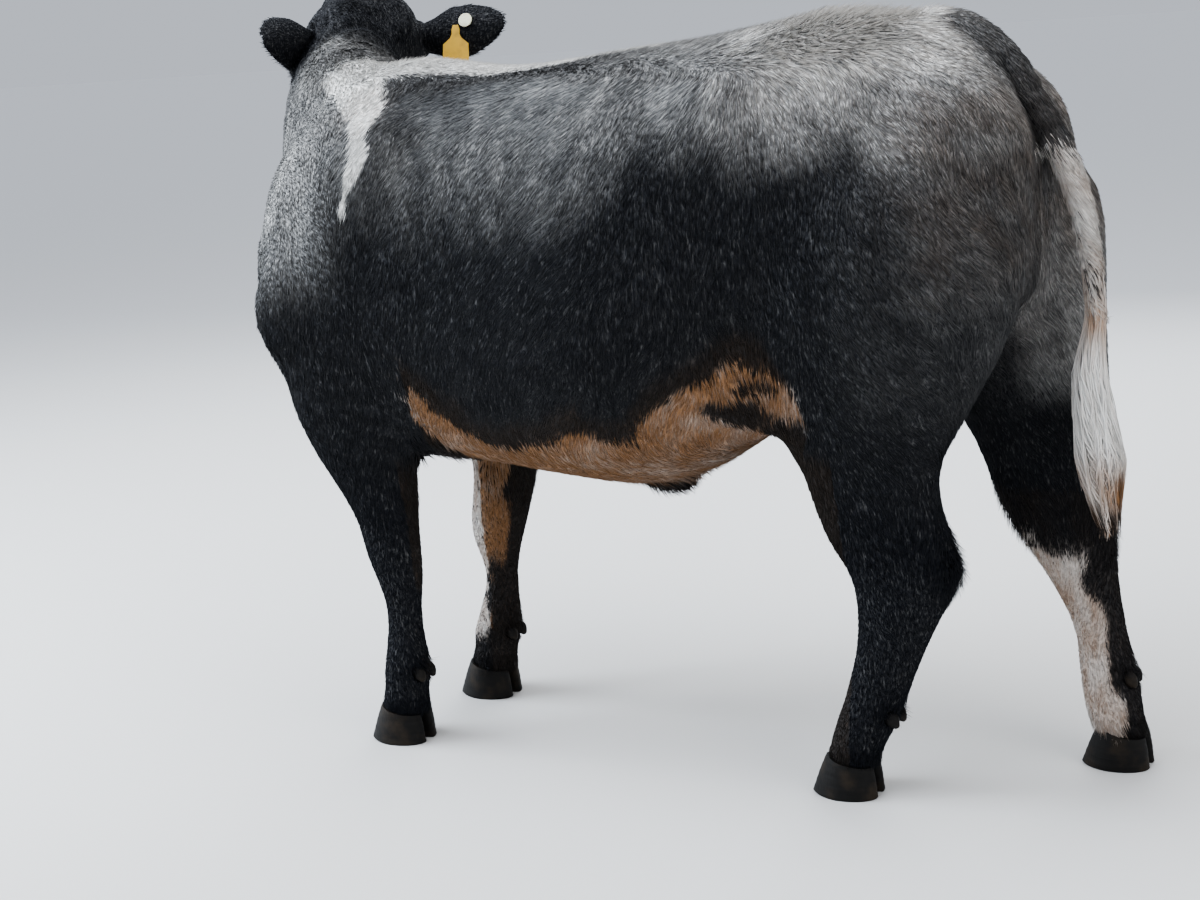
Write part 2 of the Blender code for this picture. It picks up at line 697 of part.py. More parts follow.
def mouth_groove(head):
    """A tube sunk half way into the muzzle, round the line of the mouth."""
    tree = BVHTree.FromObject(head, bpy.context.evaluated_depsgraph_get())
    frame = head_frame()
    path = []
    for angle in np.radians(np.arange(-104, 105, 13)):
        start = frame @ Vector((0, -MOUTH_CORNER - 0.055, MOUTH_LEVEL))
        way = frame.to_3x3() @ Vector((math.sin(angle), -math.cos(angle), 0.03))
        hit = tree.ray_cast(start, way)[0]
        path.append(hit - way.normalized() * 0.0008)
    path = np.array(path)
    radii = np.full(len(path), MOUTH_GROOVE)
    radii[[0, -1]] *= 0.4
    return loft("mouth", tube_rings(path, radii, radii, 8))


def nostril(head, side):
    """A comma-shaped hollow that follows the skin from beside the lip, up and outward."""
    tree = BVHTree.FromObject(head, bpy.context.evaluated_depsgraph_get())
    frame = head_frame()
    way = (frame.to_3x3() @ Vector((-side * NOSTRIL_VIEW, 1, 0))).normalized()
    path = []
    for x, z, radius in NOSTRIL:
        place = frame @ Vector((side * x, -0.47, z)) - way * 0.2
        path.append(tree.ray_cast(place, way)[0] + way * radius * NOSTRIL_DEPTH)
    radii = [row[2] for row in NOSTRIL]
    return loft("nostril", tube_rings(np.array(path), radii, radii, 10))


def finish_head(head, cutters):
    """Lids, nostrils and the line of the mouth."""
    for side in (1, -1):
        add_on(head, eyeball("lids", EYE_RADIUS + LID, side, 20), cutters)
        carve(head, lid_opening(side), cutters)
        carve(head, eyeball("socket", EYE_RADIUS + GAP, side, 16), cutters)
        carve(head, nostril(head, side), cutters)
    carve(head, mouth_groove(head), cutters)


def ear_section(t):
    """Wrap angle, radius and wall of the ear's cup at this share of its length."""
    wrap = math.radians(np.interp(t, (0, 0.2, 0.5, 1), (150, 108, 72, 50)))
    half = np.interp(t, (0, 0.14, 0.34, 0.58, 0.78, 0.92, 1),
                     (EAR_STUB, 0.037, EAR_WIDTH / 2, 0.054, 0.041, 0.024, 0.008))
    radius = half / (math.sin(wrap) if wrap < math.pi / 2 else 1)
    return wrap, radius, np.interp(t, (0, 0.3, 1), (0.010, 0.0060, 0.0030))


def ear_point(side, t, angle, depth):
    """A place on the ear: share of its length, turn round its cup, and depth under its back."""
    root, out, mouth = ear_axes(side)
    up = out.cross(mouth) * -side
    radius = ear_section(t)[1]
    lift = radius - EAR_STUB - 0.012 * math.sin(math.pi * t)
    centre = root + out * (t * EAR_LENGTH) + mouth * lift
    reach = radius - depth
    return centre - mouth * (reach * math.cos(angle)) + up * (reach * math.sin(angle))


def ear(name, side, parts):
    """A cup that is rolled at its root and opens to a broad, rounded blade."""
    rings = []
    for t in np.linspace(0, 1, 12):
        wrap, _, wall = ear_section(t)
        turns = np.linspace(-wrap, wrap, 10)
        outer = [ear_point(side, t, a, 0) for a in turns]
        inner = [ear_point(side, t, a, wall) for a in turns[::-1]]
        rings.append(np.array(outer + inner))
    return add_object(name, loft(name, rings), parts)


def ear_room(side):
    root, out, _ = ear_axes(side)
    centres = np.array([root + out * way for way, _ in EAR_ROOM])
    radii = [radius for _, radius in EAR_ROOM]
    return loft("ear_room", tube_rings(centres, radii, radii, 24))


def tag_frame(place):
    """At the back of the right ear: X level, Y up, Z out from the ear's back."""
    share, turn = place
    wall = ear_section(share)[2]
    point = ear_point(-1, share, turn, 0)
    out = (point - ear_point(-1, share, turn, wall)).normalized()
    level = Vector((0, 0, 1)).cross(out).normalized()
    frame = Matrix((level, out.cross(level), out)).transposed().to_4x4()
    return Matrix.Translation(point) @ frame, wall


def disc(name, radius, low, high, frame, sides=20):
    """A round plate or pin between two levels along the frame's Z."""
    shape = bmesh.new()
    bmesh.ops.create_cone(shape, cap_ends=True, segments=sides, radius1=radius,
                          radius2=radius, depth=high - low)
    shape.transform(frame @ Matrix.Translation((0, 0, (low + high) / 2)))
    mesh = bpy.data.meshes.new(name)
    shape.to_mesh(mesh)
    shape.free()
    return mesh


def tag(name, place, plate, ear_object, parts, cutters):
    """A plate behind the ear, a pin through it and a round catch in its cup."""
    frame, wall = tag_frame(place)
    obj = add_object(name, plate(name, frame), parts)
    inside = -wall - TAG_STAND
    catch = disc(name, CATCH_RADIUS, inside - TAG_THICKNESS, inside, frame)
    pin = disc(name, PIN_RADIUS, inside - TAG_THICKNESS / 2, TAG_STAND + TAG_THICKNESS / 2,
               frame, 12)
    add_on(obj, pin, cutters)
    add_on(obj, catch, cutters)
    carve(ear_object, disc("hole", PIN_RADIUS + 2 * GAP, -0.03, 0.03, frame, 12), cutters)
    return obj


def flag_plate(name, frame):
    """The flag: narrow at the pin, with sloping shoulders and a square foot."""
    outline = [(x, y) for x, y in FLAG_OUTLINE] + [(-x, y) for x, y in FLAG_OUTLINE[::-1]]
    rings = [[(x, y, z) for x, y in outline] for z in (TAG_STAND, TAG_STAND + TAG_THICKNESS)]
    mesh = loft(name, rings)
    mesh.transform(frame)
    return mesh


def button_plate(name, frame):
    return disc(name, BUTTON_RADIUS, TAG_STAND, TAG_STAND + TAG_THICKNESS * 1.3, frame, 24)


def claw(name, leg, side, parts):
    """One claw: flat sole, sloping wall, flat inner side and a blunt toe."""
    centre_x, centre_y = leg[-1][0], leg[-1][1] - CLAW_AHEAD
    turn = np.linspace(0, 2 * math.pi, 18, endpoint=False)
    x, y = np.cos(turn), np.sin(turn)
    x = np.where(x < 0, 0.30 * x, x) * (1 - 0.28 * np.maximum(0, -y) ** 2)
    rings = []
    for height, wide, long, back in ((0, 0.93, 0.95, 0.001), (0.005, 1, 1, 0),
                                     (0.6, 0.95, 0.84, 0.006), (1, 0.90, 0.71, 0.010)):
        px = centre_x + side * (CLAW_GAP / 2 + CLAW_WIDTH * (0.25 + 0.75 * x * wide))
        py = centre_y + CLAW_LENGTH / 2 * y * long + back
        top = CLAW_HEIGHT - CORONET_SLOPE * (py - centre_y) - GAP
        pz = height * np.ones(18) if height < 0.01 else top * height
        rings.append(np.stack([px, py, pz], 1))
    add_object(name, loft(name, rings), parts)


def dewclaw(name, leg, side, lower, parts, cutters):
    """A small horn behind the fetlock, sunk in a pocket of the leg."""
    row = leg[-4]
    centre = Vector((row[0] + side * 0.018, row[1] + row[3] - 0.010, row[2] - 0.006))
    sizes = Vector((0.0110, 0.0130, 0.0190))
    carve(lower, ball("pocket", centre, [v + GAP for v in sizes], 35, None, 10), cutters)
    add_object(name, ball(name, centre, sizes, 35, None, 10), parts)


FINISHES = (              # the start of a node's name, its colour and roughness
    ("eye", (0.012, 0.010, 0.010), 0.12),
    ("ear", (0.045, 0.046, 0.055), 0.8),
    ("head", (0.050, 0.052, 0.060), 0.75),
    ("neck", (0.160, 0.165, 0.180), 0.8),
    ("torso", (0.110, 0.112, 0.120), 0.8),
    ("tail_dock", (0.240, 0.230, 0.220), 0.8),
    ("tail_switch", (0.560, 0.500, 0.420), 0.75),
    ("claw", (0.085, 0.075, 0.068), 0.5),
    ("dewclaw", (0.085, 0.075, 0.068), 0.5),
    ("tag_flag", (0.560, 0.330, 0.050), 0.45),
    ("tag_button", (0.720, 0.680, 0.540), 0.45),
    ("foreleg", (0.018, 0.018, 0.022), 0.8),
    ("hindleg", (0.018, 0.018, 0.022), 0.8),
)


def dress(parts):
    """Gives every node its finish, smooth shading and its place about the origin."""
    place = bpy.data.objects.new("heifer", None)
    parts.objects.link(place)
    place.location = (-MIDDLE[0], -MIDDLE[1], 0)
    for obj in parts.objects:
        if obj == place:
            continue
        for start, colour, roughness in FINISHES:
            if obj.name.startswith(start):
                break
        obj.data.materials.clear()
        obj.data.materials.append(finish(obj.name, colour, roughness))
        obj.data.shade_smooth()
        obj.data.set_sharp_from_angle(angle=math.radians(38))
        obj.parent = place


def switch_size(z):
    """The switch's centre line and its half widths at a height."""
    rows = np.array(SWITCH)[::-1]
    return [np.interp(z, rows[:, 0], rows[:, k]) for k in (1, 2, 3)]


def switch_core():
    """The plain core that the locks grow from."""
    rings = []
    for z in np.linspace(SWITCH[0][0] - GAP, SWITCH_CORE, 7):
        y, across, along = switch_size(z)
        thin = np.interp(z, (SWITCH_CORE, 0.76, 0.80), (0.15, 0.72, 1))
        rings.append(level_ring(TAIL[-1][0], y, z, along * thin, across * thin)[::4])
    return loft("core", rings)


def lock(index):
    """One flat, tapered lock that leaves the core, bulges out and hangs to its tip."""
    turn = index * 2.4
    root = ROOTS[0] + (ROOTS[1] - ROOTS[0]) * (index * 0.618 % 1)
    tip = TIPS[0] + (TIPS[1] - TIPS[0]) * (index * 0.382 % 1) ** 1.5
    rings = []
    for t in np.linspace(0, 1, LOCK_STEPS + 1):
        z = root + (tip - root) * t
        y, across, along = switch_size(z)
        angle = turn + 0.55 * t + 0.20 * math.sin(5 * t + index)
        reach = 0.30 + 0.62 * math.sin(math.pi / 2 * min(t * 1.7, 1)) - 0.10 * t
        centre = np.array((TAIL[-1][0] + across * reach * math.cos(angle),
                           y + along * reach * math.sin(angle), z))
        out = np.array((math.cos(angle), math.sin(angle), 0))
        level = np.array((-math.sin(angle), math.cos(angle), 0))
        full = math.sqrt(max(1 - t**2.5, 0)) * (0.6 + 0.4 * min(3 * t, 1))
        width = max(LOCK_WIDTH * full, 0.0012)
        depth = max(LOCK_DEPTH * full, 0.0007)
        rings.append(centre + np.array((level * width, out * depth, -level * width, -out * depth)))
    return loft("lock", rings)


def switch(parts):
    """The long hair at the end of the tail: locks fused with their core in one union."""
    locks = new_collection("locks")
    for index in range(LOCKS):
        add_object("lock", lock(index), locks)
    hair = add_object("tail_switch", switch_core(), parts)
    fuse = hair.modifiers.new("fuse", "BOOLEAN")
    fuse.operation = "UNION"
    fuse.solver = "EXACT"
    fuse.operand_type = "COLLECTION"
    fuse.collection = locks
    settle(hair)
    for old in list(locks.objects):
        bpy.data.objects.remove(old, do_unlink=True)
    bpy.data.collections.remove(locks)
    largest(hair.data)


def main():
    clear_scene()
    parts = new_collection("belgian_blue_cross_heifer")
    cutters = new_collection("cutters")
    body = fused_body(parts)
    body.name = "torso"
    for x, y in ((0.034, 0.335), (0.034, 0.400)):
        for _, side in SIDES:
            add_on(body, ball("teat", (side * x, y, TEAT_LEVEL), TEAT, 0, None, 12), cutters)

    # The head and the neck
    nape = head_frame().to_3x3() @ Vector((0, -0.935, 0.355))
    head = part_beyond("head", body, on_head(0, -0.060, 0), nape, (0.35, 0.45, 0.8),
                       parts, cutters)
    neck = part_beyond("neck", body, (-0.080, -0.700, 1.080), (-0.56, -0.715, 0.42),
                       (0.38, 0.45, 0.6), parts, cutters)
    finish_head(head, cutters)
    ears = {}
    for word, side in SIDES:
        add_object("eye_" + word, eyeball("eye_" + word, EYE_RADIUS, side, 16), parts)
        for behind in (head, neck):
            carve(behind, ear_room(side), cutters)
        ears[word] = ear("ear_" + word, side, parts)
    tag("tag_flag", FLAG_PLACE, flag_plate, ears["right"], parts, cutters)
    tag("tag_button", BUTTON_PLACE, button_plate, ears["right"], parts, cutters)

    # The tail
    rows = smooth_rows(TAIL, 3)[TAIL_CUT:]
    rings = tube_rings(rows[:, :3], rows[:, 3], rows[:, 3], 16)
    dock = add_object("tail_dock", loft("tail_dock", rings), parts)
    carve(dock, cut_block(TAIL[-1][:3], (0, 0, -1), (-0.1, -0.1), (0.1, 0.1, 0.1), 0), cutters)
    room = rows[:, 3] + TAIL_ROOM
    path = rows[:, :3].copy()
    path[0] += (path[0] - path[1]) * 0.02
    carve(body, loft("tail_room", tube_rings(path, room, room, 16)), cutters)
    switch(parts)

    # The legs
    for word, side, legs in (("left", 1, (FORE_LEFT, HIND_LEFT)),
                             ("right", -1, (FORE_RIGHT, HIND_RIGHT))):
        for kind, leg in zip(("fore", "hind"), legs):
            limits = LEG_CUTS[kind + "_" + word]
            upper = part_off(kind + "leg_upper_" + word, body, leg_block(*limits, -GAP / 2),
                             leg_block(*limits, GAP / 2), parts, cutters)
            foot = (leg[-1][0], leg[-1][1], KNEES[kind])
            lower = part_beyond(kind + "leg_lower_" + word, upper, foot, (0, 0, -1),
                                (0.2, 0.3, 0.5), parts, cutters)
            coronet = (leg[-1][0], leg[-1][1] - CLAW_AHEAD, CLAW_HEIGHT)
            carve(lower, cut_block(coronet, (0, -CORONET_SLOPE, -1), (-0.2, -0.2),
                                   (0.2, 0.2, 0.2), 0), cutters)
            for place, way in (("inner", -side), ("outer", side)):
                claw("claw_%s_%s_%s" % (kind, word, place), leg, way, parts)
                dewclaw("dewclaw_%s_%s_%s" % (kind, word, place), leg, way, lower, parts, cutters)
    dress(parts)


main()
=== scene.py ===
"""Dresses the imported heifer: skin, coat, eyes, hooves, tags and switch, with light and camera."""
import math

import bmesh
import bpy
import numpy as np
from mathutils import Matrix, Vector
from mathutils.bvhtree import BVHTree


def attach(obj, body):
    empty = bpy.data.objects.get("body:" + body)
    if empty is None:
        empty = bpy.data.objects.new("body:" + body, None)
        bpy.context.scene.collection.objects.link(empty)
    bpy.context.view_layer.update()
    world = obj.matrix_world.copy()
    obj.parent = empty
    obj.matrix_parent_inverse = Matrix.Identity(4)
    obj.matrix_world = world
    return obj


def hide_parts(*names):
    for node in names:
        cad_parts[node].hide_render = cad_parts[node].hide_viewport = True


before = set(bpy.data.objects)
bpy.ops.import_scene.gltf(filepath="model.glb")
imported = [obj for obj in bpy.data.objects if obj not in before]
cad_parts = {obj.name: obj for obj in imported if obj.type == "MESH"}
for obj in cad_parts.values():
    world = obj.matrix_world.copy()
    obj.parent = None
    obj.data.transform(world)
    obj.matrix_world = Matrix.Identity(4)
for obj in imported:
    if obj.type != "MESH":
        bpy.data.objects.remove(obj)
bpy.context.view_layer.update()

# The tables of the part have their origin on the trunk's midline, this far from the frame's
SHIFT = Vector((0.1473, 0.1838, 0))
COAT = 0.0026             # how far the skin lies under the solids
GRAIN = 0.0045            # grain of the fused skin
SKIN_FACES = 150000
ROAN_TONE = 0.62          # how light the mixed hair is at its lightest
SEED = 11
FLOOR_SIZE = 250
LENS = 61.56              # mm, on a sensor 36 mm wide
SENSOR = 36
CAMERA_PLACE = (3.24517, 1.57017, 1.35)
CAMERA_WAY = (-0.86027, -0.46321, -0.21303)
CAMERA_ROLL = math.radians(3.76)
LAMPS = (                 # name, place, target, size, power, colour
    ("overhead", (0.4, -0.4, 4.4), (0.1, 0.0, 0.8), (4.5, 4.5), 190, (0.96, 0.98, 1.0)),
    ("window", (1.6, -4.2, 2.6), (0.1, -0.3, 0.9), (3.2, 2.4), 300, (0.84, 0.92, 1.0)),
    ("rear", (2.0, 4.4, 2.3), (0.1, 0.75, 1.0), (2.6, 2.0), 62, (1.0, 0.98, 0.95)),
    ("back", (-4.0, -0.6, 2.8), (0.1, 0.2, 0.9), (4.0, 2.4), 120, (0.90, 0.95, 1.0)),
)
DAY_POWER = 1.6
DAY_COLOUR = (0.757, 0.836, 1.0)
DAY_SPREAD = math.radians(60)
DAY_WAY = (-0.35, 0.45, -0.82)
SKY_COLOUR = (0.86, 0.91, 1.0, 1)
SKY_POWER = 0.60

# The coat's tufts: on the body, and what the feet and the face add or take
TUFTS = 54500             # in a square metre
TUFTS_FEET = 37000
TUFTS_FACE = 52000
TUFTS_EAR = 46000         # in the ear, instead of the others
TUFT_LENGTH = 0.0190
TUFT_WIDTH = 0.00128      # half width
FACE_LENGTH = 0.0070
EAR_HAIR = 0.0085
COAT_PIECE = 45000        # most tufts in one piece
BAKE_PATCH = 0.003        # side of each tuft's patch on the bake map
LOCKS = 1980              # in the switch
LOCK_WIDTH = 0.00155
LASH_LENGTH = 0.0165
LOWER_LASH = 0.0075

# Head, in its own frame: poll at the origin, X to the left, -Y along the face, Z off the face
POLL = Vector((-0.375, -0.870, 1.415)) + SHIFT
HEAD_TURN = math.radians(40)
HEAD_DIP = math.radians(38)
EYE = (0.0985, 0.160, -0.062)
EYE_RADIUS = 0.0220
EYE_WAY = (0.90, 0.38, 0.06)
EYE_OPENING = (0.0415, 0.0265)
EAR_ROOT = (0.122, 0.049, -0.110)
EAR_LENGTH = 0.188
EAR_WIDTH = 0.118
EAR_SWEEP = math.radians(38)
EAR_RISE = 0.10
EAR_STUB = 0.030
MOUTH_LEVEL = -0.131
MOUTH_CORNER = 0.352
MOUTH_GROOVE = 0.0030
NOSTRIL = (
    (0.026, -0.085, 0.0080), (0.034, -0.077, 0.0125), (0.043, -0.066, 0.0125),
    (0.052, -0.057, 0.0095), (0.061, -0.053, 0.0060), (0.068, -0.054, 0.0028),
)
CLAW_LENGTH = 0.118
CLAW_WIDTH = 0.050
CLAW_GAP = 0.006
CLAW_HEIGHT = 0.062
CORONET_SLOPE = 0.20
CLAW_AHEAD = 0.004        # how far each claw's middle lies ahead of the foot's place
DEWCLAW = (0.0098, 0.0122, 0.0186)
DEWCLAW_OFF = 0.018
DEWCLAW_TILT = math.radians(35)
# Each foot: side word, kind, centre x and y of its sole, and side
FEET = (
    ("left", "fore", 0.150, -0.558, 1), ("right", "fore", -0.130, -0.528, -1),
    ("left", "hind", 0.140, 0.344, 1), ("right", "hind", -0.130, 0.740, -1),
)
FETLOCKS = {              # between the two dewclaws of each foot
    "foreleft": (0.150, -0.503, 0.136), "foreright": (-0.130, -0.463, 0.136),
    "hindleft": (0.140, 0.430, 0.144), "hindright": (-0.130, 0.763, 0.159),
}
TAIL_X = -0.008
TAIL = (                  # x, y, z and half width down the bony part of the tail
    (0.000, 0.430, 1.258, 0.030), (0.000, 0.480, 1.272, 0.034), (0.000, 0.540, 1.262, 0.034),
    (0.000, 0.600, 1.215, 0.031), (0.000, 0.644, 1.148, 0.027), (-0.002, 0.690, 1.065, 0.024),
    (-0.004, 0.718, 0.985, 0.021), (-0.006, 0.732, 0.900, 0.018), (-0.008, 0.740, 0.800, 0.016),
)
SWITCH = (                # height, y, half width across, half width fore and aft
    (0.950, 0.7245, 0.0190, 0.0190),
    (0.880, 0.7345, 0.0175, 0.0175),
    (0.810, 0.740, 0.0175, 0.0175),
    (0.755, 0.732, 0.0210, 0.0230),
    (0.710, 0.728, 0.0250, 0.0300),
    (0.630, 0.735, 0.0330, 0.0400),
    (0.570, 0.742, 0.0370, 0.0460),
    (0.535, 0.744, 0.0340, 0.0400),
    (0.495, 0.748, 0.0270, 0.0300),
    (0.450, 0.756, 0.0170, 0.0200),
)


# Small tools

def smooth_step(low, high, value):
    t = np.clip((value - low) / (high - low), 0, 1)
    return t * t * (3 - 2 * t)


def window(value, start, full, fade, end):
    """Rises from start to full, and falls from fade to end."""
    return smooth_step(start, full, value) * (1 - smooth_step(fade, end, value))


def hash_of(cell, seed):
    """A repeatable number from 0 to 1 for each whole-number cell."""
    mixed = cell @ np.array((127.1, 311.7, 74.7)) + seed * 19.19
    value = np.sin(mixed) * 43758.5453
    return value - np.floor(value)


def mottle(points, size, seed):
    """Smooth noise from 0 to 1 with blotches of this size."""
    scaled = np.asarray(points) / size
    cell = np.floor(scaled)
    part = scaled - cell
    part = part * part * (3 - 2 * part)
    total = np.zeros(len(scaled))
    for corner in np.ndindex(2, 2, 2):
        offset = np.array(corner, float)
        weight = np.prod(np.where(offset > 0, part, 1 - part), axis=1)
        total += weight * hash_of(cell + offset, seed)
    return total


def add_object(name, mesh):
    obj = bpy.data.objects.new(name, mesh)
    bpy.context.scene.collection.objects.link(obj)
    return obj


def frame_of(place, *axes):
    """A frame at this place from its three axes."""
    return Matrix.Translation(place) @ Matrix(axes).transposed().to_4x4()


def mesh_of(shape, name):
    mesh = bpy.data.meshes.new(name)
    shape.to_mesh(mesh)
    shape.free()
    return mesh


def ordered_mesh(shape, name):
    """A mesh whose faces come in one order on every run, each from its lowest point."""
    shape.verts.index_update()
    points = [vertex.co for vertex in shape.verts]
    faces = []
    for face in shape.faces:
        corners = [vertex.index for vertex in face.verts]
        first = corners.index(min(corners))
        faces.append(tuple(corners[first:] + corners[:first]))
    mesh = mesh_from(name, points, sorted(faces), False)
    shape.free()
    return mesh


def settle(obj):
    """Applies the modifiers in place."""
    bpy.context.view_layer.update()
    graph = bpy.context.evaluated_depsgraph_get()
    mesh = bpy.data.meshes.new_from_object(obj.evaluated_get(graph))
    obj.modifiers.clear()
    old = obj.data
    obj.data = mesh
    bpy.data.meshes.remove(old)


def mesh_from(name, points, faces, turn=True):
    mesh = bpy.data.meshes.new(name)
    mesh.from_pydata([tuple(p) for p in points], [], faces)
    if turn:
        shape = bmesh.new()
        shape.from_mesh(mesh)
        bmesh.ops.recalc_face_normals(shape, faces=shape.faces)
        shape.to_mesh(mesh)
        shape.free()
    return mesh


def loft(name, rings):
    rings = np.array(rings)
    count = rings.shape[1]
    faces = []
    for i in range(len(rings) - 1):
        for j in range(count):
            k = (j + 1) % count
            faces.append((i * count + j, i * count + k, (i + 1) * count + k, (i + 1) * count + j))
    faces.append(tuple(range(count - 1, -1, -1)))
    faces.append(tuple(range((len(rings) - 1) * count, len(rings) * count)))
    return mesh_from(name, rings.reshape(-1, 3), faces)


def tube_rings(centres, depths, widths, count):
    """Rings square to a path: depth runs up and down, width runs level."""
    steps = np.gradient(np.array(centres), axis=0)
    turn = np.linspace(0, 2 * math.pi, count, endpoint=False)
    rings = []
    for centre, step, depth, width in zip(centres, steps, depths, widths):
        ahead = Vector(step).normalized()
        side = ahead.cross(Vector((0, 0, 1)))
        side = side.normalized() if side.length > 0.02 else Vector((1, 0, 0))
        if side.x < 0:
            side = -side
        lift = ahead.cross(side).normalized()
        rings.append(np.array(centre) + np.outer(np.cos(turn) * width, side)
                     + np.outer(np.sin(turn) * depth, lift))
    return rings


def smooth_rows(rows, pieces):
    """Rows with more between them, on one smooth curve through them."""
    rows = np.array(rows)
    ends = np.vstack([2 * rows[0] - rows[1], rows, 2 * rows[-1] - rows[-2]])
    found = []
    for i in range(1, len(ends) - 2):
        a, b, c, d = ends[i - 1:i + 3]
        for t in np.linspace(0, 1, pieces, endpoint=False):
            found.append(0.5 * (2 * b + (c - a) * t + (2 * a - 5 * b + 4 * c - d) * t**2
                                + (3 * b - a - 3 * c + d) * t**3))
    return np.array(found + [rows[-1]])


def ball(name, radius, segments, place=None):
    shape = bmesh.new()
    bmesh.ops.create_uvsphere(shape, u_segments=segments, v_segments=segments // 2, radius=radius)
    if place is not None:
        shape.transform(place)
    return ordered_mesh(shape, name)


def largest(mesh):
    """Keeps only the largest closed surface."""
    shape = bmesh.new()
    shape.from_mesh(mesh)
    left = set(shape.faces)
    groups = []
    while left:
        face = left.pop()
        group, edge_of = [face], [face]
        while edge_of:
            for edge in edge_of.pop().edges:
                for other in edge.link_faces:
                    if other in left:
                        left.discard(other)
                        group.append(other)
                        edge_of.append(other)
        groups.append(group)
    groups.sort(key=len, reverse=True)
    extra = [face for group in groups[1:] for face in group]
    if extra:
        bmesh.ops.delete(shape, geom=extra, context="FACES")
        bmesh.ops.delete(shape, geom=[v for v in shape.verts if not v.link_faces], context="VERTS")
    shape.to_mesh(mesh)
    shape.free()


def boolean(obj, mesh, operation):
    tool = add_object("tool", mesh)
    cut = obj.modifiers.new("cut", "BOOLEAN")
    cut.operation = operation
    cut.solver = "MANIFOLD"
    cut.object = tool
    settle(obj)
    bpy.data.objects.remove(tool, do_unlink=True)


# The head's own frame, and the places on it

def head_frame():
    ahead = Vector((-math.sin(HEAD_TURN) * math.cos(HEAD_DIP),
                    -math.cos(HEAD_TURN) * math.cos(HEAD_DIP), -math.sin(HEAD_DIP)))
    left = Vector((math.cos(HEAD_TURN), -math.sin(HEAD_TURN), 0))
    return frame_of(POLL, left, -ahead, left.cross(-ahead))


HEAD = head_frame()


def on_head(side, ahead, up):
    return HEAD @ Vector((side, -ahead, up))


def eye_frame(side):
    """X along the gap between the lids, Y up, Z the way that the eye looks."""
    centre = on_head(side * EYE[0], EYE[1], EYE[2])
    ahead = on_head(side * (EYE[0] + EYE_WAY[0]), EYE[1] + EYE_WAY[1], EYE[2] + EYE_WAY[2])
    look = (ahead - centre).normalized()
    up = (HEAD.to_3x3() @ Vector((0, -0.25, 1))).normalized()
    along = up.cross(look).normalized()
    return frame_of(centre, along, look.cross(along), look)


def ear_axes(side):
    left = Vector((math.cos(HEAD_TURN), -math.sin(HEAD_TURN), 0)) * side
    ahead = Vector((-math.sin(HEAD_TURN), -math.cos(HEAD_TURN), 0))
    out = left * math.cos(EAR_SWEEP) - ahead * math.sin(EAR_SWEEP) + Vector((0, 0, EAR_RISE))
    out.normalize()
    mouth = ahead * math.cos(EAR_SWEEP) + left * math.sin(EAR_SWEEP) + Vector((0, 0, -0.30))
    mouth = (mouth - out * mouth.dot(out)).normalized()
    return on_head(side * EAR_ROOT[0], EAR_ROOT[1], EAR_ROOT[2]), out, mouth


def ear_section(t):
    wrap = math.radians(np.interp(t, (0, 0.2, 0.5, 1), (150, 108, 72, 50)))
    half = np.interp(t, (0, 0.14, 0.34, 0.58, 0.78, 0.92, 1),
                     (EAR_STUB, 0.037, EAR_WIDTH / 2, 0.054, 0.041, 0.024, 0.008))
    radius = half / (math.sin(wrap) if wrap < math.pi / 2 else 1)
    return wrap, radius, np.interp(t, (0, 0.3, 1), (0.010, 0.0060, 0.0030))


def ear_point(side, t, angle, depth):
    root, out, mouth = ear_axes(side)
    up = out.cross(mouth) * -side
    radius = ear_section(t)[1]
    lift = radius - EAR_STUB - 0.012 * math.sin(math.pi * t)
    centre = root + out * (t * EAR_LENGTH) + mouth * lift
    reach = radius - depth
    return centre - mouth * (reach * math.cos(angle)) + up * (reach * math.sin(angle))


def ear_mesh(side):
    """The cup of the ear, a little inside the solid one, with its root in the head."""
    rings = []
    for t in np.concatenate([[-0.10], np.linspace(0, 0.985, 34)]):
        wrap, _, wall = ear_section(max(t, 0))
        wrap *= 0.985
        turns = np.linspace(-wrap, wrap, 22)
        thin = 0.0006
        outer = [ear_point(side, t, a, thin) for a in turns]
        inner = [ear_point(side, t, a, wall - thin) for a in turns[::-1]]
        rings.append(np.array(outer + inner))
    return loft("ear", rings)


def muzzle_tree(obj):
    return BVHTree.FromObject(obj, bpy.context.evaluated_depsgraph_get())


def nostril(obj, side):
    tree = muzzle_tree(obj)
    way = (HEAD.to_3x3() @ Vector((-side * 0.34, 1, 0))).normalized()
    path = []
    for x, z, radius in NOSTRIL:
        place = HEAD @ Vector((side * x, -0.47, z)) - way * 0.2
        path.append(tree.ray_cast(place, way)[0] + way * radius * 0.45)
    steps = np.linspace(0, len(path) - 1, 16)
    path = np.array(path)
    fine = np.stack([np.interp(steps, np.arange(len(path)), path[:, k]) for k in range(3)], 1)
    radii = np.interp(steps, np.arange(len(path)), [row[2] for row in NOSTRIL])
    return loft("nostril", tube_rings(fine, radii, radii, 20))


def mouth_groove(obj):
    tree = muzzle_tree(obj)
    path = []
    for angle in np.radians(np.arange(-104, 105, 4)):
        start = HEAD @ Vector((0, -MOUTH_CORNER - 0.055, MOUTH_LEVEL))
        way = HEAD.to_3x3() @ Vector((math.sin(angle), -math.cos(angle), 0.03))
        path.append(tree.ray_cast(start, way)[0])
    path = np.array(path)
    radii = np.full(len(path), MOUTH_GROOVE)
    radii[[0, -1]] *= 0.3
    radii[[1, -2]] *= 0.7
    return loft("mouth", tube_rings(path, radii, radii, 10))


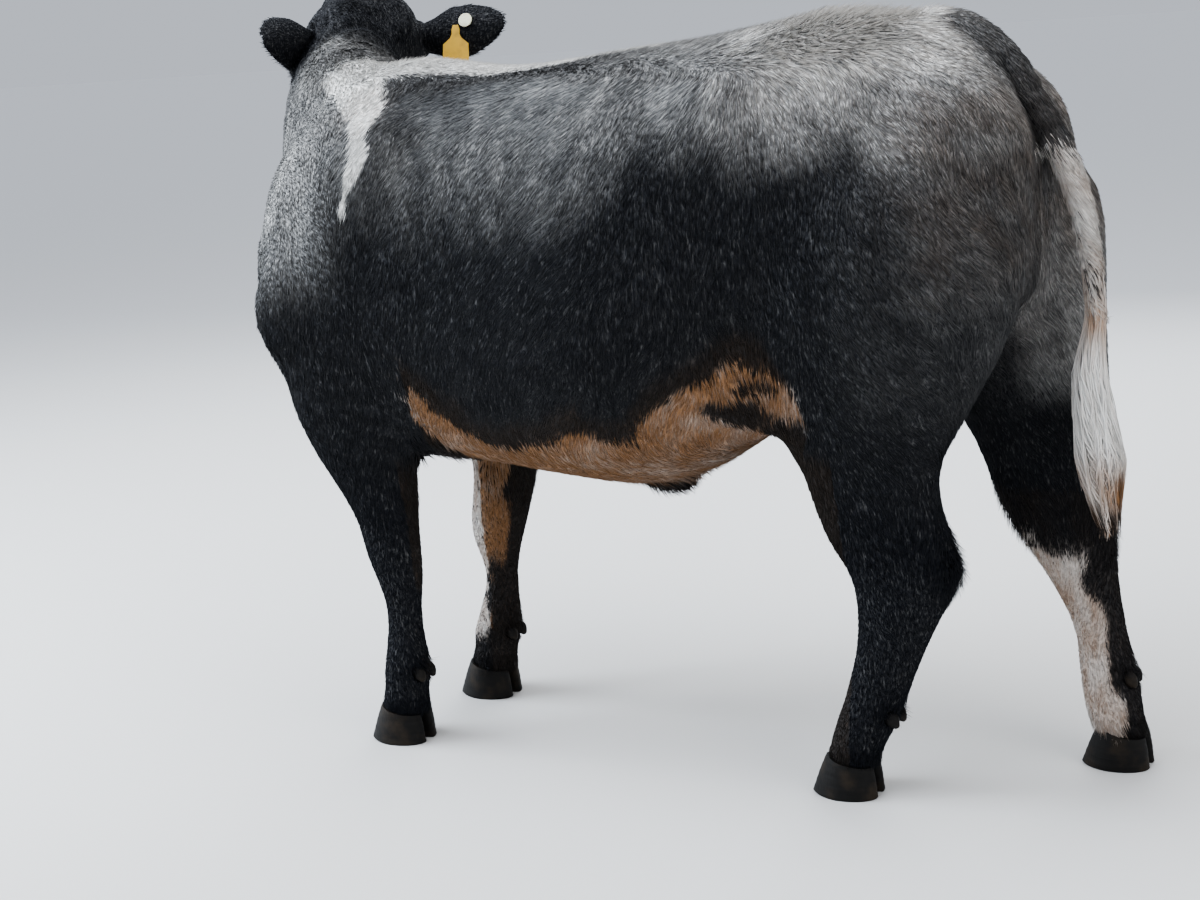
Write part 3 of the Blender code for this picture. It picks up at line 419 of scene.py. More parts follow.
def lid_opening(side):
    """The almond between the lids, as a short prism along the eye's look."""
    half, rise = EYE_OPENING[0] / 2, EYE_OPENING[1] / 2
    turn = np.linspace(0, 2 * math.pi, 40, endpoint=False)
    x = half * np.cos(turn)
    y = rise * np.sign(np.sin(turn)) * np.abs(np.sin(turn)) ** 1.2
    mesh = loft("almond", [np.stack([x, y, np.full(40, z)], 1) for z in (0.004, 0.040)])
    mesh.transform(eye_frame(side))
    return mesh


# The skin

def flesh_names():
    names = ["torso", "neck", "head", "eye_left", "eye_right"]
    for word in ("left", "right"):
        for kind in ("foreleg", "hindleg"):
            names += [kind + "_upper_" + word, kind + "_lower_" + word]
    return names


def weigh(obj, name, weights):
    group = obj.vertex_groups.new(name=name)
    for level in np.unique(weights):
        if level > 0:
            picked = np.nonzero(weights == level)[0].tolist()
            group.add(picked, float(level), "REPLACE")


def places(mesh):
    found = np.empty(len(mesh.vertices) * 3)
    mesh.vertices.foreach_get("co", found)
    return found.reshape(-1, 3)


def put_places(mesh, points):
    mesh.vertices.foreach_set("co", points.reshape(-1))
    mesh.update()


def normals_of(mesh):
    found = np.empty(len(mesh.vertices) * 3)
    mesh.vertices.foreach_get("normal", found)
    return found.reshape(-1, 3)


def on_table(points):
    """Places in the frame of the part's tables."""
    return points - np.array(SHIFT)


def in_head(points):
    """Head coordinates: left, ahead, up."""
    local = (points - np.array(HEAD.translation)) @ np.array(HEAD.to_3x3())
    return np.stack([local[:, 0], -local[:, 1], local[:, 2]], 1)


def in_eye(points, side):
    """Eye coordinates: along the lids, up, out."""
    place = np.array(eye_frame(side).inverted())
    return points @ place[:3, :3].T + place[:3, 3]


def by_ear(points, side):
    """How far along the ear each place lies from its root, and how far off its middle line."""
    root, out, _ = ear_axes(side)
    local = points - np.array(root)
    along = local @ np.array(out)
    return along, np.linalg.norm(local - np.outer(along, np.array(out)), axis=1)


def fused_skin():
    shape = bmesh.new()
    for name in flesh_names():
        shape.from_mesh(bpy.data.objects[name].data)
    for side in (1, -1):
        root, out, _ = ear_axes(side)
        centres = [root - out * d for d in (0.06, 0.03, 0.004, -0.016)]
        bulk = loft("ear_base", tube_rings(centres, (0.05, 0.047, 0.040, 0.026),
                                           (0.05, 0.047, 0.040, 0.026), 32))
        shape.from_mesh(bulk)
    skin = add_object("heifer_skin", mesh_of(shape, "skin"))
    grain = skin.modifiers.new("fuse", "REMESH")
    grain.mode = "VOXEL"
    grain.voxel_size = GRAIN
    settle(skin)
    largest(skin.data)
    points = places(skin.data)
    from_head = np.linalg.norm(points - np.array(on_head(0, 0.20, -0.08)), axis=1)
    soft = smooth_step(0.12, 0.55, points[:, 2]) * smooth_step(0.30, 0.50, from_head)
    soft = np.maximum(soft, 0.10 * smooth_step(0.02, 0.12, points[:, 2]))
    weigh(skin, "soft", np.round(soft, 2))
    for name, group, rounds in (("all", "", 3), ("trunk", "soft", 70)):
        easing = skin.modifiers.new(name, "SMOOTH")
        easing.factor = 0.5
        easing.iterations = rounds
        easing.vertex_group = group
    settle(skin)
    thin = skin.modifiers.new("thin", "DECIMATE")
    thin.ratio = SKIN_FACES / (2 * len(skin.data.polygons))
    weigh(skin, "spare", np.round(0.99 + 0.01 * smooth_step(0.24, 0.42, from_head), 4))
    thin.vertex_group = "spare"
    thin.use_collapse_triangulate = True
    settle(skin)
    largest(skin.data)
    put_places(skin.data, places(skin.data) - COAT * normals_of(skin.data))
    return skin


def face_folds(mesh):
    """Lids, brow and the small folds of a cow's face, as moves along the normals."""
    points, normals = places(mesh), normals_of(mesh)
    local = in_head(points)
    move = np.zeros(len(points))
    near_head = (local[:, 1] > -0.10) & (local[:, 1] < 0.55)
    for side in (1, -1):
        eye = in_eye(points, side)
        reach = np.hypot(eye[:, 0] / 1.25, eye[:, 1])
        front = smooth_step(-0.03, 0.0, eye[:, 2])
        lid = np.exp(-((reach - 0.0165) / 0.0045) ** 2)
        crease = np.exp(-((reach - 0.0245) / 0.0022) ** 2)
        fold = np.exp(-((reach - 0.031) / 0.004) ** 2)
        above = smooth_step(-0.006, 0.008, eye[:, 1])
        move += front * (0.0026 * lid - 0.0016 * crease * (0.4 + 0.6 * above)
                         + 0.0012 * fold * above)
        tear = np.exp(-((eye[:, 0] * -1 - 0.030) / 0.012) ** 2 - ((eye[:, 1] + 0.006) / 0.003) ** 2)
        move -= 0.0008 * front * tear
    # Soft folds behind the jaw and across the throat
    fold = np.sin(local[:, 1] * 190 + 6 * mottle(points, 0.05, 3))
    throat = smooth_step(-0.14, -0.20, local[:, 2]) * smooth_step(0.10, 0.0, local[:, 1])
    move += 0.0014 * fold * throat * near_head
    # Pleats at the corner of the mouth and round the nostrils
    for side in (1, -1):
        corner = np.exp(-np.sum((local - (side * 0.060, MOUTH_CORNER + 0.004, MOUTH_LEVEL)) ** 2,
                                axis=1) / 0.020**2)
        move += 0.0010 * corner * np.sin(local[:, 2] * 900)
        hole = np.exp(-np.sum((local - (side * 0.046, 0.462, -0.050)) ** 2, axis=1) / 0.020**2)
        move += 0.0030 * hole
    put_places(mesh, points + normals * move[:, None])


def body_folds(mesh):
    """Loose hide: folds of the neck, behind the elbow and in the flank."""
    points, normals = places(mesh), normals_of(mesh)
    x, y, z = on_table(points).T
    warp = mottle(points, 0.11, 5)
    # The neck bends to the right, so its right side is pleated
    along = (y + 0.74) * 0.78 + (x + 0.17) * 0.62
    neck = np.exp(-(along / 0.13) ** 2) * smooth_step(1.00, 1.14, z) * smooth_step(-0.02, -0.22, x)
    move = 0.0026 * neck * np.sin(along * 150 + 7 * warp)
    flank = np.exp(-((y - 0.20) / 0.09) ** 2 - ((z - 0.74) / 0.10) ** 2)
    move += 0.0030 * flank * np.sin((y * 0.8 + z * 0.5) * 95 + 5 * warp)
    elbow = np.exp(-((y + 0.47) / 0.05) ** 2 - ((z - 0.74) / 0.09) ** 2)
    move -= 0.0040 * elbow
    skin_like = mottle(points, 0.030, 8) - 0.5
    move += 0.0012 * skin_like * smooth_step(0.45, 0.65, z)
    put_places(mesh, points + normals * move[:, None])


def tail_mesh():
    """The bony part of the tail, with the joints of its bones just showing."""
    rows = smooth_rows(TAIL, 12)
    down = np.linspace(0, 1, len(rows))
    radii = rows[:, 3] - 0.0015 + 0.0006 * np.sin(down * 130) * smooth_step(0.2, 0.4, down)
    path = rows[:, :3] + np.array(SHIFT)
    return loft("tail", tube_rings(path, radii * 0.96, radii * 1.04, 32))


def carved_skin():
    skin = fused_skin()
    body_folds(skin.data)
    boolean(skin, tail_mesh(), "UNION")
    face_folds(skin.data)
    for side in (1, -1):
        boolean(skin, lid_opening(side), "DIFFERENCE")
        boolean(skin, ball("socket", EYE_RADIUS + 0.0002, 48, eye_frame(side)), "DIFFERENCE")
        boolean(skin, nostril(skin, side), "DIFFERENCE")
        boolean(skin, ear_mesh(side), "UNION")
    boolean(skin, mouth_groove(skin), "DIFFERENCE")
    slope = Vector((0, -CORONET_SLOPE, -1)).normalized()
    level = Vector((1, 0, 0))
    for _, _, x, y, _ in FEET:
        place = Vector((x, y - CLAW_AHEAD, CLAW_HEIGHT)) + SHIFT
        shape = bmesh.new()
        bmesh.ops.create_cube(shape, size=0.24)
        down = Matrix.Translation((0, 0, 0.12))
        shape.transform(frame_of(place, level, slope.cross(level), slope) @ down)
        boolean(skin, mesh_of(shape, "sole_block"), "DIFFERENCE")
    largest(skin.data)
    return skin


# Markings, all from the place on the body

def blob(points, centre, sizes, soft=0.35):
    d = np.linalg.norm((points - np.array(centre)) / np.array(sizes), axis=1)
    return 1 - smooth_step(1 - soft, 1 + soft, d)


WITHERS_WHITE = (         # bands of white over the withers: two ends, and a radius at each
    ((0.000, -0.600, 1.265), (0.000, -0.340, 1.255), 0.106, 0.080),
    ((0.000, -0.340, 1.255), (0.000, -0.170, 1.245), 0.080, 0.038),
    ((0.030, -0.620, 1.250), (0.168, -0.512, 1.188), 0.066, 0.040),
    ((0.168, -0.512, 1.188), (0.228, -0.490, 1.115), 0.042, 0.023),
    ((0.228, -0.488, 1.115), (0.272, -0.515, 1.015), 0.025, 0.005),
)
WITHERS_DARK = (
    ((0.080, -0.572, 1.245), (0.034, -0.506, 1.264), 0.011, 0.008),
    ((0.094, -0.400, 1.240), (0.088, -0.300, 1.240), 0.011, 0.013),
)
BELLY_LINE = (            # y along the trunk and the height where the belly's white begins
    (-0.46, 0.50), (-0.433, 0.715), (-0.378, 0.676), (-0.290, 0.606), (-0.221, 0.601),
    (-0.129, 0.624), (-0.033, 0.655), (-0.016, 0.632), (0.045, 0.628), (0.061, 0.666),
    (0.130, 0.717), (0.203, 0.761), (0.231, 0.769), (0.288, 0.748), (0.312, 0.700), (0.318, 0.56),
)
ROAN_LINE = (             # y along the trunk and the height where the grey fades out
    (-0.80, 0.80), (-0.626, 0.960), (-0.479, 0.950), (-0.346, 0.955), (-0.214, 0.985),
    (-0.090, 1.008), (0.022, 1.034), (0.109, 1.050), (0.189, 1.062), (0.289, 1.080),
    (0.385, 1.115), (0.478, 1.105), (0.62, 1.08),
)


ROAN_GREY = (             # y along the trunk and how light the mixed hair is there
    (-0.75, 0.66), (-0.60, 0.46), (-0.45, 0.26), (-0.30, 0.29), (-0.10, 0.38), (0.10, 0.56),
    (0.25, 0.88), (0.45, 1.50), (0.52, 1.50),
)
TAIL_HANG = (             # height and y of the tail's middle
    (0.80, 0.740), (0.90, 0.732), (0.985, 0.718), (1.065, 0.690), (1.148, 0.644),
    (1.215, 0.600), (1.262, 0.540), (1.300, 0.500),
)
MOTTLES = ((0.16, 21), (0.055, 22), (0.018, 23))     # size and seed of the wide, mid and fine ones


def band(points, first, second, radius, end_radius):
    """How far inside a tapering band each place lies, with a soft edge."""
    first, second = np.array(first), np.array(second)
    line = second - first
    t = np.clip((points - first) @ line / (line @ line), 0, 1)
    off = np.linalg.norm(points - first - t[:, None] * line, axis=1)
    return 1 - smooth_step(0.80, 1.18, off / (radius + (end_radius - radius) * t))


def ground(points):
    """Places on the tables, places pushed about by mottles, and the mottles themselves."""
    p = on_table(points)
    wide, mid, fine = (mottle(points, size, seed) - 0.5 for size, seed in MOTTLES)
    q = p + np.stack([mid, wide * 0.6 + mid, mid + fine * 0.5], 1) * 0.05
    return p, q, wide, mid, fine


def back_white(p, q, wide, mid, fine):
    """White of the withers, with the streak down behind the shoulder, and of the loin."""
    x, y, z = p.T
    white = np.zeros(len(p))
    mirrored = p + np.stack([mid, mid + wide * 0.5, mid + fine], 1) * 0.022
    mirrored[:, 0] = np.abs(mirrored[:, 0])
    for row in WITHERS_WHITE:
        white = np.maximum(white, band(mirrored, *row))
    for row in WITHERS_DARK:
        white = white * (1 - 0.85 * band(mirrored, *row))
    crest = window(y, -0.36, -0.28, -0.06, 0.02) * (1 - smooth_step(0.025, 0.045, np.abs(x)))
    white = np.maximum(white, 0.95 * crest * (z > 1.2))
    loin = window(q[:, 1], 0.14, 0.30, 0.49, 0.54)
    return np.maximum(white, 0.85 * loin * smooth_step(1.255, 1.295, q[:, 2]))


def belly_white(points, p, q):
    """White of the belly round its dark spots, and the wider reach of the belly's brown, which is
    partly stain and partly painted shade and warm bounce light.
    """
    x, y, z = p.T
    line = np.interp(q[:, 1], *np.array(BELLY_LINE).T) + 0.02 * (mottle(points, 0.030, 27) - 0.5)
    above_line = q[:, 2] * 0.4 + z * 0.6 - line
    belly_shading = smooth_step(0.07, 0.03, above_line) * (y > -0.50) * (y < 0.36)
    belly = smooth_step(0.010, -0.010, above_line) * (y > -0.50) * (y < 0.34)
    r = 0.4 * q + 0.6 * p
    spot = blob(r, (0.240, 0.208, 0.676), (0.12, 0.060, 0.030), 0.22)
    spot = np.maximum(spot, blob(r, (0.250, 0.250, 0.726), (0.12, 0.040, 0.013), 0.3))
    navel = blob(p, (0.0, -0.040, 0.478), (0.05, 0.075, 0.035), 0.3)
    belly = belly * (1 - np.where(x > 0, spot, 0)) * (1 - navel)
    floor_line = np.interp(y, (-0.46, -0.36, 0.13, 0.20, 0.27), (0.66, 0.50, 0.48, 0.60, 0.66))
    return belly * smooth_step(0.0, 0.03, z - floor_line), belly_shading


def leg_white(p, q, mid, fine):
    """White down the front of the two right legs."""
    x, y, z = p.T
    right = x < -0.03
    fore_y = np.interp(z, (0.0, 0.22, 0.49, 0.76), (-0.528, -0.489, -0.464, -0.545))
    front = (x + 0.130) * 0.9 - (y - fore_y)
    patch = smooth_step(-0.005, 0.012, front + 0.03 * mid) * smooth_step(0.26, 0.31, q[:, 2])
    strip = smooth_step(0.034, 0.046, front + 0.03 * fine) * smooth_step(0.12, 0.15, z)
    patch = np.maximum(patch, strip) * (1 - smooth_step(0.545, 0.575, q[:, 2]))
    fore = 0.85 * patch * (right & (y > -0.72) & (y < -0.36))
    hind_y = np.interp(z, (0.0, 0.165, 0.235, 0.352, 0.462), (0.740, 0.722, 0.710, 0.671, 0.632))
    front = (x + 0.130) * 0.5 - (y - hind_y)
    patch = smooth_step(-0.014, 0.004, front + 0.04 * mid)
    patch = patch * (1 - smooth_step(0.385, 0.410, q[:, 2])) * smooth_step(0.045, 0.07, z)
    return np.maximum(fore, patch * (right & (y > 0.40)))


def tail_white(points, p, mid):
    """Which places are on the tail, how white they are, and how far they lie off its middle; above
    the switch the white is kept to the near, lit side, so the far side's grey is partly painted
    shade.
    """
    x, y, z = p.T
    drop = np.abs(y - np.interp(z, *np.array(TAIL_HANG).T))
    tail = (np.abs(x - TAIL_X * 0.5) < 0.034) & (y > 0.60) & (z < 1.16) & (z > 0.4)
    tail = tail & (drop < 0.034)
    caked = 0.6 * mottle(points * (1, 1, 0.45), 0.009, 28) + 0.4 * mid + 0.2
    dirty = 0.02 + 0.50 * np.exp(-((z - 0.880) / 0.045) ** 2) + 0.7 * smooth_step(1.05, 1.12, z)
    caked = smooth_step(0.46, 0.62, caked) * dirty
    pale = smooth_step(1.135, 1.075, z + 0.05 * mid)
    # The white is kept to the near, lit side; the grey far side is partly the hair's colour and
    # partly painted shade
    pale = pale * smooth_step(-0.022, -0.006, x - TAIL_X * 0.5)
    pale = np.maximum(pale, smooth_step(0.93, 0.88, z)) * (1 - 0.8 * np.clip(caked, 0, 1))
    return tail, pale, drop


def mixed_hair(p, q, wide, mid):
    """Roan, strongest along the ribs and loin, in streaks along the lie of the coat, with painted
    sheen on the far buttock and a lighter near side of the chest that is partly painted rim light.
    """
    x, y, z = p.T
    lean = np.interp(y, (-0.70, -0.45, -0.15, 0.20, 0.45, 0.75), (0.2, 0.6, 0.75, 0.0, -0.5, -0.8))
    across = y + lean * z
    drawn = np.stack([x * 0.6, across, 0.26 * z], 1)
    streaks = 0.65 * mottle(drawn, 0.0085, 24) + 0.35 * mottle(drawn, 0.004, 25)
    clumps = mottle(np.stack([x, across, 0.5 * z], 1), 0.050, 26)
    edge = np.interp(y, *np.array(ROAN_LINE).T) + 0.12 * wide + 0.05 * mid
    roan = smooth_step(-0.06, 0.18, z - edge) * smooth_step(-0.86, -0.80, y)
    roan = roan * np.interp(y, *np.array(ROAN_GREY).T)
    roan = roan * (0.45 + 0.85 * clumps) * (0.45 + 1.1 * streaks)
    roan = roan * (1 - 0.70 * smooth_step(0.49, 0.60, y))
    rump = smooth_step(0.42, 0.56, y) * smooth_step(0.70, 0.96, z)
    roan += 0.21 * rump * (0.4 + 1.2 * streaks)
    hip = blob(p, (0.20, 0.37, 1.264), (0.12, 0.15, 0.070), 0.5)
    roan = np.maximum(roan, 1.45 * hip * (0.45 + streaks))
    roan = roan * (1 - 0.40 * blob(q, (0.10, -0.36, 1.215), (0.26, 0.14, 0.040), 0.5))
    # The chest's roan is lighter on the near side: partly roan, partly painted rim light
    chest = smooth_step(-0.46, -0.68, y) * smooth_step(0.78, 1.05, z)
    rim = 0.29 + 0.25 * smooth_step(0.02, 0.16, x)
    # Buttocks: a little roan on both, and on the far buttock a further lightening that is painted
    # sheen of the hide
    seat_roan_and_sheen = smooth_step(0.56, 0.64, y) * window(z, 0.62, 0.72, 0.98, 1.10)
    thigh = 0.075 * smooth_step(0.30, 0.45, y) * smooth_step(0.55, 0.75, z)
    for patch in (rim * chest, (0.12 + 0.32 * (x < 0)) * seat_roan_and_sheen, thigh):
        roan = np.maximum(roan, patch * (0.5 + streaks))
    flecks = 0.028 * (0.4 + 1.2 * streaks) * smooth_step(0.35, 0.7, z)
    return np.maximum(roan, flecks), streaks


def head_cover(points):
    """1 over the dark head and ears, falling to 0, and the fine grain of the face."""
    local = in_head(points)
    off_head = np.linalg.norm((local - (0, 0.17, -0.09)) / (0.30, 0.34, 0.26), axis=1)
    face = 1 - smooth_step(0.75, 1.10, off_head)
    for side in (1, -1):
        along, off = by_ear(points, side)
        ear = smooth_step(-0.02, 0.02, along) * (1 - smooth_step(0.085, 0.11, off)) * (along < 0.22)
        face = np.maximum(face, ear)
    on_face = local * (1, 0.30, 1)
    return face, 0.6 * mottle(on_face, 0.0075, 29) + 0.4 * mottle(on_face, 0.0035, 30)


def stain_and_belly_shade(points, p, q, mid, fine, belly_shading, tail):
    """Yellow and brown staining of the inner thighs, rump, right legs and tail, and the belly's
    brown, which is partly stain and partly painted shade and warm bounce light.
    """
    x, y, z = p.T
    warm = np.interp(y, (-0.45, -0.20, 0.02, 0.12, 0.22, 0.32), (1.02, 1.00, 0.94, 0.90, 0.98, 1.0))
    inner = smooth_step(0.10, 0.05, np.abs(x)) * smooth_step(0.52, 0.60, y)
    inner = inner * window(z, 0.68, 0.76, 0.86, 0.98) * (~tail)
    dusty = window(z, 0.80, 0.98, 1.15, 1.25) * (0.3 + mottle(points, 0.030, 36))
    dirt = 0.5 * mottle(points * (1, 1, 0.5), 0.030, 34)
    dirt = dirt + 0.5 * mottle(points * (1, 1, 0.4), 0.010, 35)
    low = smooth_step(0.95, 0.90, z + 0.05 * mid) * (0.4 + mottle(points * (1, 1, 0.3), 0.010, 31))
    # On the belly this brown is partly stain and partly painted shade and warm bounce light from
    # below
    stain_and_shading = belly_shading * (warm + 0.35 * mid + 0.25 * fine) + 0.14 * inner
    for patch in (
            0.09 * smooth_step(0.10, 0.30, y) * smooth_step(1.0, 1.2, z),
            0.13 * blob(q, (0.165, -0.520, 1.185), (0.07, 0.07, 0.05), 0.5),
            0.40 * smooth_step(0.42, 0.56, y) * dusty,
            (0.10 + 0.60 * dirt) * (z < 0.60) * (x < 0) * (y < 0),
            (0.18 + 0.75 * dirt) * (z < 0.50) * (x < 0) * (y > 0),
            tail * (0.04 + 0.45 * low)):
        stain_and_shading = np.maximum(stain_and_shading, patch)
    return stain_and_shading


def markings(points):
    """White, roan and stain at each place: how much white hair, how much mixed hair, how yellow; on
    the belly the yellow-brown is partly painted shade and warm bounce light.
    """
    p, q, wide, mid, fine = ground(points)
    x, y, z = p.T
    belly, belly_shading = belly_white(points, p, q)
    white = np.maximum(back_white(p, q, wide, mid, fine), belly)
    white = np.maximum(white, leg_white(p, q, mid, fine))
    tail, pale, drop = tail_white(points, p, mid)
    white = np.where(tail, pale, white)
    roan, streaks = mixed_hair(p, q, wide, mid)
    face, grain = head_cover(points)
    roan = roan * (1 - face) + 0.012 * face * (0.4 + 1.2 * grain)
    white = white * (1 - face)
    dock = (1 - smooth_step(0.040, 0.060, np.abs(x))) * smooth_step(0.475, 0.52, y)
    dock = dock * (1 - smooth_step(0.045, 0.075, drop)) * smooth_step(1.05, 1.12, z)
    white = white * (1 - dock)
    roan = roan * (1 - 0.80 * dock) + 0.06 * dock * (0.4 + 1.2 * streaks)
    stain_and_shading = stain_and_belly_shade(points, p, q, mid, fine, belly_shading, tail)
    return np.clip(white, 0, 1), roan, np.clip(stain_and_shading, 0, 1)


# Bare skin: nose, lids and teats

def bareness(points):
    local = in_head(points)
    nose = smooth_step(0.450, 0.463, local[:, 1] + 0.25 * (local[:, 2] + 0.085))
    nose = nose * smooth_step(-0.120, -0.112, local[:, 2]) * (np.abs(local[:, 0]) < 0.07)
    lids = np.zeros(len(points))
    for side in (1, -1):
        eye = in_eye(points, side)
        reach = np.hypot(eye[:, 0] / 1.5, eye[:, 1])
        lids = np.maximum(lids, (1 - smooth_step(0.0150, 0.0185, reach)) * (eye[:, 2] > 0.0))
    p = on_table(points)
    teats = ((np.abs(p[:, 0]) < 0.06) & (p[:, 1] > 0.29) & (p[:, 1] < 0.45) & (p[:, 2] < 0.625))
    return nose, lids, teats.astype(float)


def skin_data(mesh):
    mesh.calc_loop_triangles()
    faces = np.empty(len(mesh.loop_triangles) * 3, np.int64)
    mesh.loop_triangles.foreach_get("vertices", faces)
    loops = np.empty(len(mesh.loop_triangles) * 3, np.int64)
    mesh.loop_triangles.foreach_get("loops", loops)
    return places(mesh), normals_of(mesh), faces.reshape(-1, 3), loops.reshape(-1, 3)


def put_attribute(mesh, name, values):
    layer = mesh.color_attributes.new(name=name, type="FLOAT_COLOR", domain="POINT")
    rows = np.ones((len(values), 4), np.float32)
    rows[:, :3] = values
    layer.data.foreach_set("color", rows.reshape(-1))


def unwrap(obj):
    """A map of the skin's own shape, which the coat's patches are laid on."""
    bpy.context.view_layer.objects.active = obj
    for other in bpy.context.selected_objects:
        other.select_set(False)
    obj.select_set(True)
    obj.data.uv_layers.new(name="Hide")
    bpy.ops.object.mode_set(mode="EDIT")
    bpy.ops.mesh.select_all(action="SELECT")
    bpy.ops.uv.smart_project(angle_limit=math.radians(72), island_margin=0.002)
    bpy.ops.object.mode_set(mode="OBJECT")
    obj.select_set(False)


SHAGGY = (                # places with longer hair, on both sides: place, sizes and extra length
    ((0.140, -0.445, 0.560), (0.060, 0.050, 0.120), 0.012),
    ((0.130, 0.745, 0.480), (0.060, 0.050, 0.110), 0.012),
    ((0.142, 0.560, 0.430), (0.060, 0.050, 0.090), 0.012),
    ((0.000, -0.020, 0.500), (0.120, 0.160, 0.040), 0.010),
    ((0.000, -0.700, 0.640), (0.100, 0.120, 0.070), 0.012),
)


# The lie of the coat

def lie(points, normals):
    """The way that the hair lies at each place, in the skin's plane."""
    p = on_table(points)
    y, z = p[:, 1], p[:, 2]
    lean = np.interp(y, (-0.70, -0.45, -0.15, 0.20, 0.45, 0.75),
                     (0.25, -0.30, -0.45, 0.0, 0.45, 0.75))
    way = np.stack([np.zeros(len(p)), lean, -np.ones(len(p))], 1)
    top = smooth_step(1.20, 1.26, z)
    way[:, 1] += 0.9 * top
    legs = smooth_step(0.62, 0.50, z)
    way[:, 1] = way[:, 1] * (1 - legs) + 0.12 * legs
    belly = smooth_step(0.66, 0.56, z) * (np.abs(normals[:, 2]) > 0.5)
    way += belly[:, None] * np.array((0, 0.9, 0))
    ahead = np.array(HEAD.to_3x3() @ Vector((0, -1, 0)))
    local = in_head(points)
    neck = smooth_step(-0.50, -0.62, y) * smooth_step(0.85, 1.0, z)
    down_neck = -ahead * np.array((0.9, 0.9, 0.2)) + np.array((0.05, 0.15, -0.65))
    way = way * (1 - neck[:, None]) + down_neck * neck[:, None]
    on_face = smooth_step(-0.06, 0.02, local[:, 1]) * (y < -0.70)
    up = np.array(HEAD.to_3x3() @ Vector((0, 0, 1)))
    out = np.array(HEAD.to_3x3() @ Vector((1, 0, 0)))
    bridge = smooth_step(0.03, 0.0, np.abs(local[:, 0]))[:, None]
    face_way = (ahead * np.interp(local[:, 1], (0, 0.10, 0.30), (-0.7, 0.25, 0.5))[:, None]
                - up * 0.9 + out * np.sign(local[:, 0])[:, None] * 0.45 * (1 - bridge))
    way = way * (1 - on_face[:, None]) + face_way * on_face[:, None]
    for side in (1, -1):
        along, off = by_ear(points, side)
        ear = (along > 0.012) & (off < 0.09) & (along < 0.21)
        way = np.where(ear[:, None], np.array(ear_axes(side)[1]), way)
    # Whorls and cowlicks
    swirl = (mottle(points, 0.10, 41) - 0.5) * 0.9 + (mottle(points, 0.022, 42) - 0.5) * 0.7
    side_way = np.cross(normals, way)
    way = way + side_way * swirl[:, None]
    way -= normals * np.sum(way * normals, axis=1)[:, None]
    length = np.linalg.norm(way, axis=1)
    return way / np.maximum(length, 1e-6)[:, None]


def coat_plan(points, normals, bare):
    """Tufts per square metre, and their length, half width and lift, at each place."""
    p = on_table(points)
    y, z = p[:, 1], p[:, 2]
    local = in_head(points)
    face = smooth_step(-0.10, 0.0, local[:, 1]) * (y < -0.66) * (z > 0.95)
    feet = smooth_step(0.50, 0.36, z)
    top = smooth_step(1.19, 1.26, z) * (1 - face) * (1 - smooth_step(0.40, 0.54, y))
    length = TUFT_LENGTH - 0.0100 * feet + 0.0100 * top
    length = length * (1 - face) + FACE_LENGTH * face
    width = TUFT_WIDTH - 0.00043 * feet - 0.00056 * face
    density = TUFTS + TUFTS_FEET * feet + TUFTS_FACE * face
    lift = 0.13 + 0.12 * top + 0.05 * feet
    loin = window(y, 0.18, 0.30, 0.50, 0.60) * top
    length += 0.010 * loin
    lift += 0.10 * loin
    for centre in FETLOCKS.values():
        above = np.array(centre) + (0, -0.004, 0.022)
        near = np.exp(-np.sum(((p - above) / (0.036, 0.026, 0.026)) ** 2, axis=1))
        length += 0.022 * near
        lift += 0.14 * near
    crown = np.exp(-((z - CLAW_HEIGHT - 0.014) / 0.014) ** 2) * (z < 0.11)
    length += 0.013 * crown
    lift += 0.10 * crown
    density = density * (1 + 0.8 * crown)
    for place, sizes, more in SHAGGY:
        near = blob(np.stack([np.abs(p[:, 0]), y, z], 1), place, sizes, 0.6)
        length += more * near
        lift += 0.25 * near
    for side in (1, -1):
        along, off = by_ear(points, side)
        on_ear = (along > 0.010) & (along < 0.21) & (off < 0.085)
        inside = on_ear & (normals @ np.array(ear_axes(side)[2]) > 0.15)
        length = np.where(on_ear, EAR_HAIR, length)
        lift = np.where(on_ear, 0.10, lift)
        length = np.where(inside, 0.0200 - 0.05 * np.clip(along, 0, 0.2), length)
        lift = np.where(inside, 0.32, lift)
        density = np.where(inside, TUFTS_EAR, density)
    nose, lids, teats = bare
    density = density * (1 - np.clip(nose + lids + teats, 0, 1))
    return density, length, width, lift


def scattered(points, normals, faces, loops, uv, density, rng):
    """Random places on the triangles, at this density per square metre."""
    a, b, c = points[faces[:, 0]], points[faces[:, 1]], points[faces[:, 2]]
    cross = np.cross(b - a, c - a)
    area = np.linalg.norm(cross, axis=1) / 2
    wanted = area * density[faces].mean(axis=1)
    count = np.floor(wanted + rng.random(len(wanted))).astype(int)
    picked = np.repeat(np.arange(len(faces)), count)
    u, v = rng.random(len(picked)), rng.random(len(picked))
    flip = u + v > 1
    u, v = np.where(flip, 1 - u, u), np.where(flip, 1 - v, v)
    weights = np.stack([1 - u - v, u, v], 1)
    at = np.einsum("ij,ijk->ik", weights, points[faces[picked]])
    normal = np.einsum("ij,ijk->ik", weights, normals[faces[picked]])
    normal /= np.linalg.norm(normal, axis=1)[:, None]
    spot = np.einsum("ij,ijk->ik", weights, uv[loops[picked]])
    return at, normal, spot


